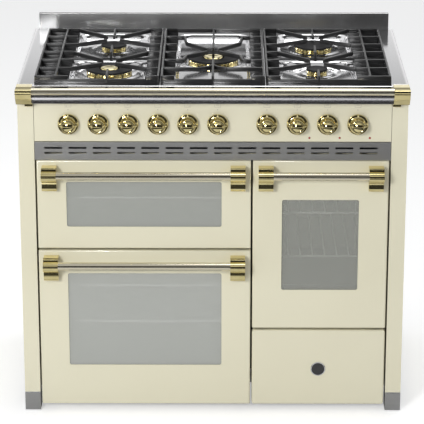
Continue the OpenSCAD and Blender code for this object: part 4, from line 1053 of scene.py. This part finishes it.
signs = []
half_w, half_h, line = 0.008, 0.0062, 0.0006
hob_dots = [(-0.5, -0.45), (-0.5, 0.45), (0, 0), (0.5, 0.45), (0.5, -0.45)]
for k in range(1, 11):
    low, high = span(f"knob_{k}")
    x, z = float(low[0] + high[0]) / 2, float(low[2] + high[2]) / 2
    sz = z + 0.049
    signs += [plate(x - half_w, x + half_w, at, at + line)
              for at in (sz - half_h, sz + half_h - line)]
    signs += [plate(at, at + line, sz - half_h + line, sz + half_h - line)
              for at in (x - half_w, x + half_w - line)]
    if k <= 5:
        signs += [dot(x + px * half_w, sz + pz * half_h, 0.0011 if j == k - 1 else 0.0005)
                  for j, (px, pz) in enumerate(hob_dots)]
        angles = np.radians([-210, -150, -90])
    else:
        signs += [plate(x - 0.0042, x + 0.0042, at, at + line)
                  for at in (sz - 0.0008, sz + 0.0018)]
        angles = np.linspace(0.5, 4.7, 9)
    signs += [tick(x, z, angle, 0.03, 0.0325) for angle in angles]
    signs.append(dot(x, z + 0.0365, 0.0012))
piece("panel_signs", "cabinet", sign_paint, *signs)
print("sign plates:", len(signs))

# %% [markdown]
# ## Floor and light
# The object stands in a bright room: a large soft lamp ahead on the left, a wide one above,
# and a pale sky all round. To the camera the sky and the floor are white. Polished metal
# shows its shape only by dark bands between light ones, so what it mirrors is a room: a
# white ceiling with a dark line on each side of it, a dark wall ahead, and a floor in rings
# about the cooker, light to 1.2 m, dark to 2.9 m, light again from 3.1 to 4.1 m and dark
# beyond. Only mirrored rays see that room, and the even light stays even.

# %% Floor
floor = bpy.data.meshes.new("floor")
floor.from_pydata([(-12, -12, 0), (12, -12, 0), (12, 12, 0), (-12, 12, 0)], [], [(0, 1, 2, 3)])
ground = linked("floor", floor)
pale = Finish("pale_floor", roughness=0.9, specular_ior_level=0.1, emission_strength=1.0)
distance = pale.node("ShaderNodeVectorMath", {"operation": "LENGTH"}, {0: pale.place()}, "Value")
zones = [(0, 0.7), (1.2, 0.7), (1.45, 0.03), (2.9, 0.03), (3.1, 0.9), (4.1, 0.8), (4.5, 0.02),
         (6, 0.02)]
rug = pale.greys(distance / 6, zones, 6)
in_mirrors = pale.rays("Is Glossy Ray")
seen = pale.rays("Is Camera Ray", "Is Transmission Ray")
glow = pale.mixed(seen, (0.0, 0.0, 0.0), (0.42, 0.42, 0.42))
pale.set(base_color=pale.mixed(in_mirrors, (0.86, 0.86, 0.86), rug), emission_color=glow)
floor.materials.append(pale.material)

# %% Sky, whose angles go from level behind the cooker (0) over its top (90) to its front (180)
world = bpy.data.worlds.new("studio")
bpy.context.scene.world = world
world.use_nodes = True
world.node_tree.nodes.clear()
sky = Network(world.node_tree)


def background(colour, strength=1.0):
    return sky.node("ShaderNodeBackground", None, {"Color": colour, "Strength": strength})


direction = sky.node("ShaderNodeTexCoord", out="Generated")
back, up = (sky.node("ShaderNodeSeparateXYZ", None, {0: direction}, axis) for axis in "YZ")
height = sky.node("ShaderNodeMath", {"operation": "ARCTAN2"}, {0: up, 1: back})
turn = sky.node("ShaderNodeMath", {"operation": "FRACT"}, {0: height / (2 * math.pi)})
room = [(0, 1.0), (14.2, 1.0), (14.9, 0.28), (19, 0.3), (26, 1.0), (100, 1.0), (112, 0.1),
        (118, 0.1), (123, 0.6), (146, 0.55), (154, 0.03), (198, 0.03), (204, 0.6), (360, 0.6)]
even = background((0.98, 0.99, 1.0), 0.45)
mirrored_room = background(sky.greys(turn, room, 360))
white = background((1.0, 1.0, 1.0))
seen = sky.rays("Is Camera Ray", "Is Transmission Ray")
lit = sky.node("ShaderNodeMixShader", None,
               {0: sky.rays("Is Glossy Ray"), 1: even, 2: mirrored_room})
shown = sky.node("ShaderNodeMixShader", None, {0: seen, 1: lit, 2: white})
output = world.node_tree.nodes.new("ShaderNodeOutputWorld")
sky.feed(output.inputs["Surface"], shown)
print("stops in the mirrored room:", len(room))


# %% Lamps
def soft_lamp(name, at, target, size, watts):
    """A square lamp that faces its target: tilted from straight down by the angle between,
    then turned about Z."""
    lamp = bpy.data.lights.new(name, "AREA")
    lamp.shape, lamp.size, lamp.energy = "SQUARE", size, watts
    holder = linked(name, lamp)
    way = np.asarray(target, float) - np.asarray(at, float)
    tilt = math.acos(-way[2] / np.linalg.norm(way))
    holder.location = at
    holder.rotation_euler = (tilt, 0, math.atan2(way[1], way[0]) - math.pi / 2)


soft_lamp("key", (-1.6, -3.9, 2.1), (0, -0.2, 0.55), 0.8, 84)
soft_lamp("overhead", (0.3, 0.2, 3.4), (0, 0, 0.9), 1.6, 34)

# %% View settings and the end
bpy.context.scene.view_settings.view_transform = "Standard"
bpy.context.view_layer.update()
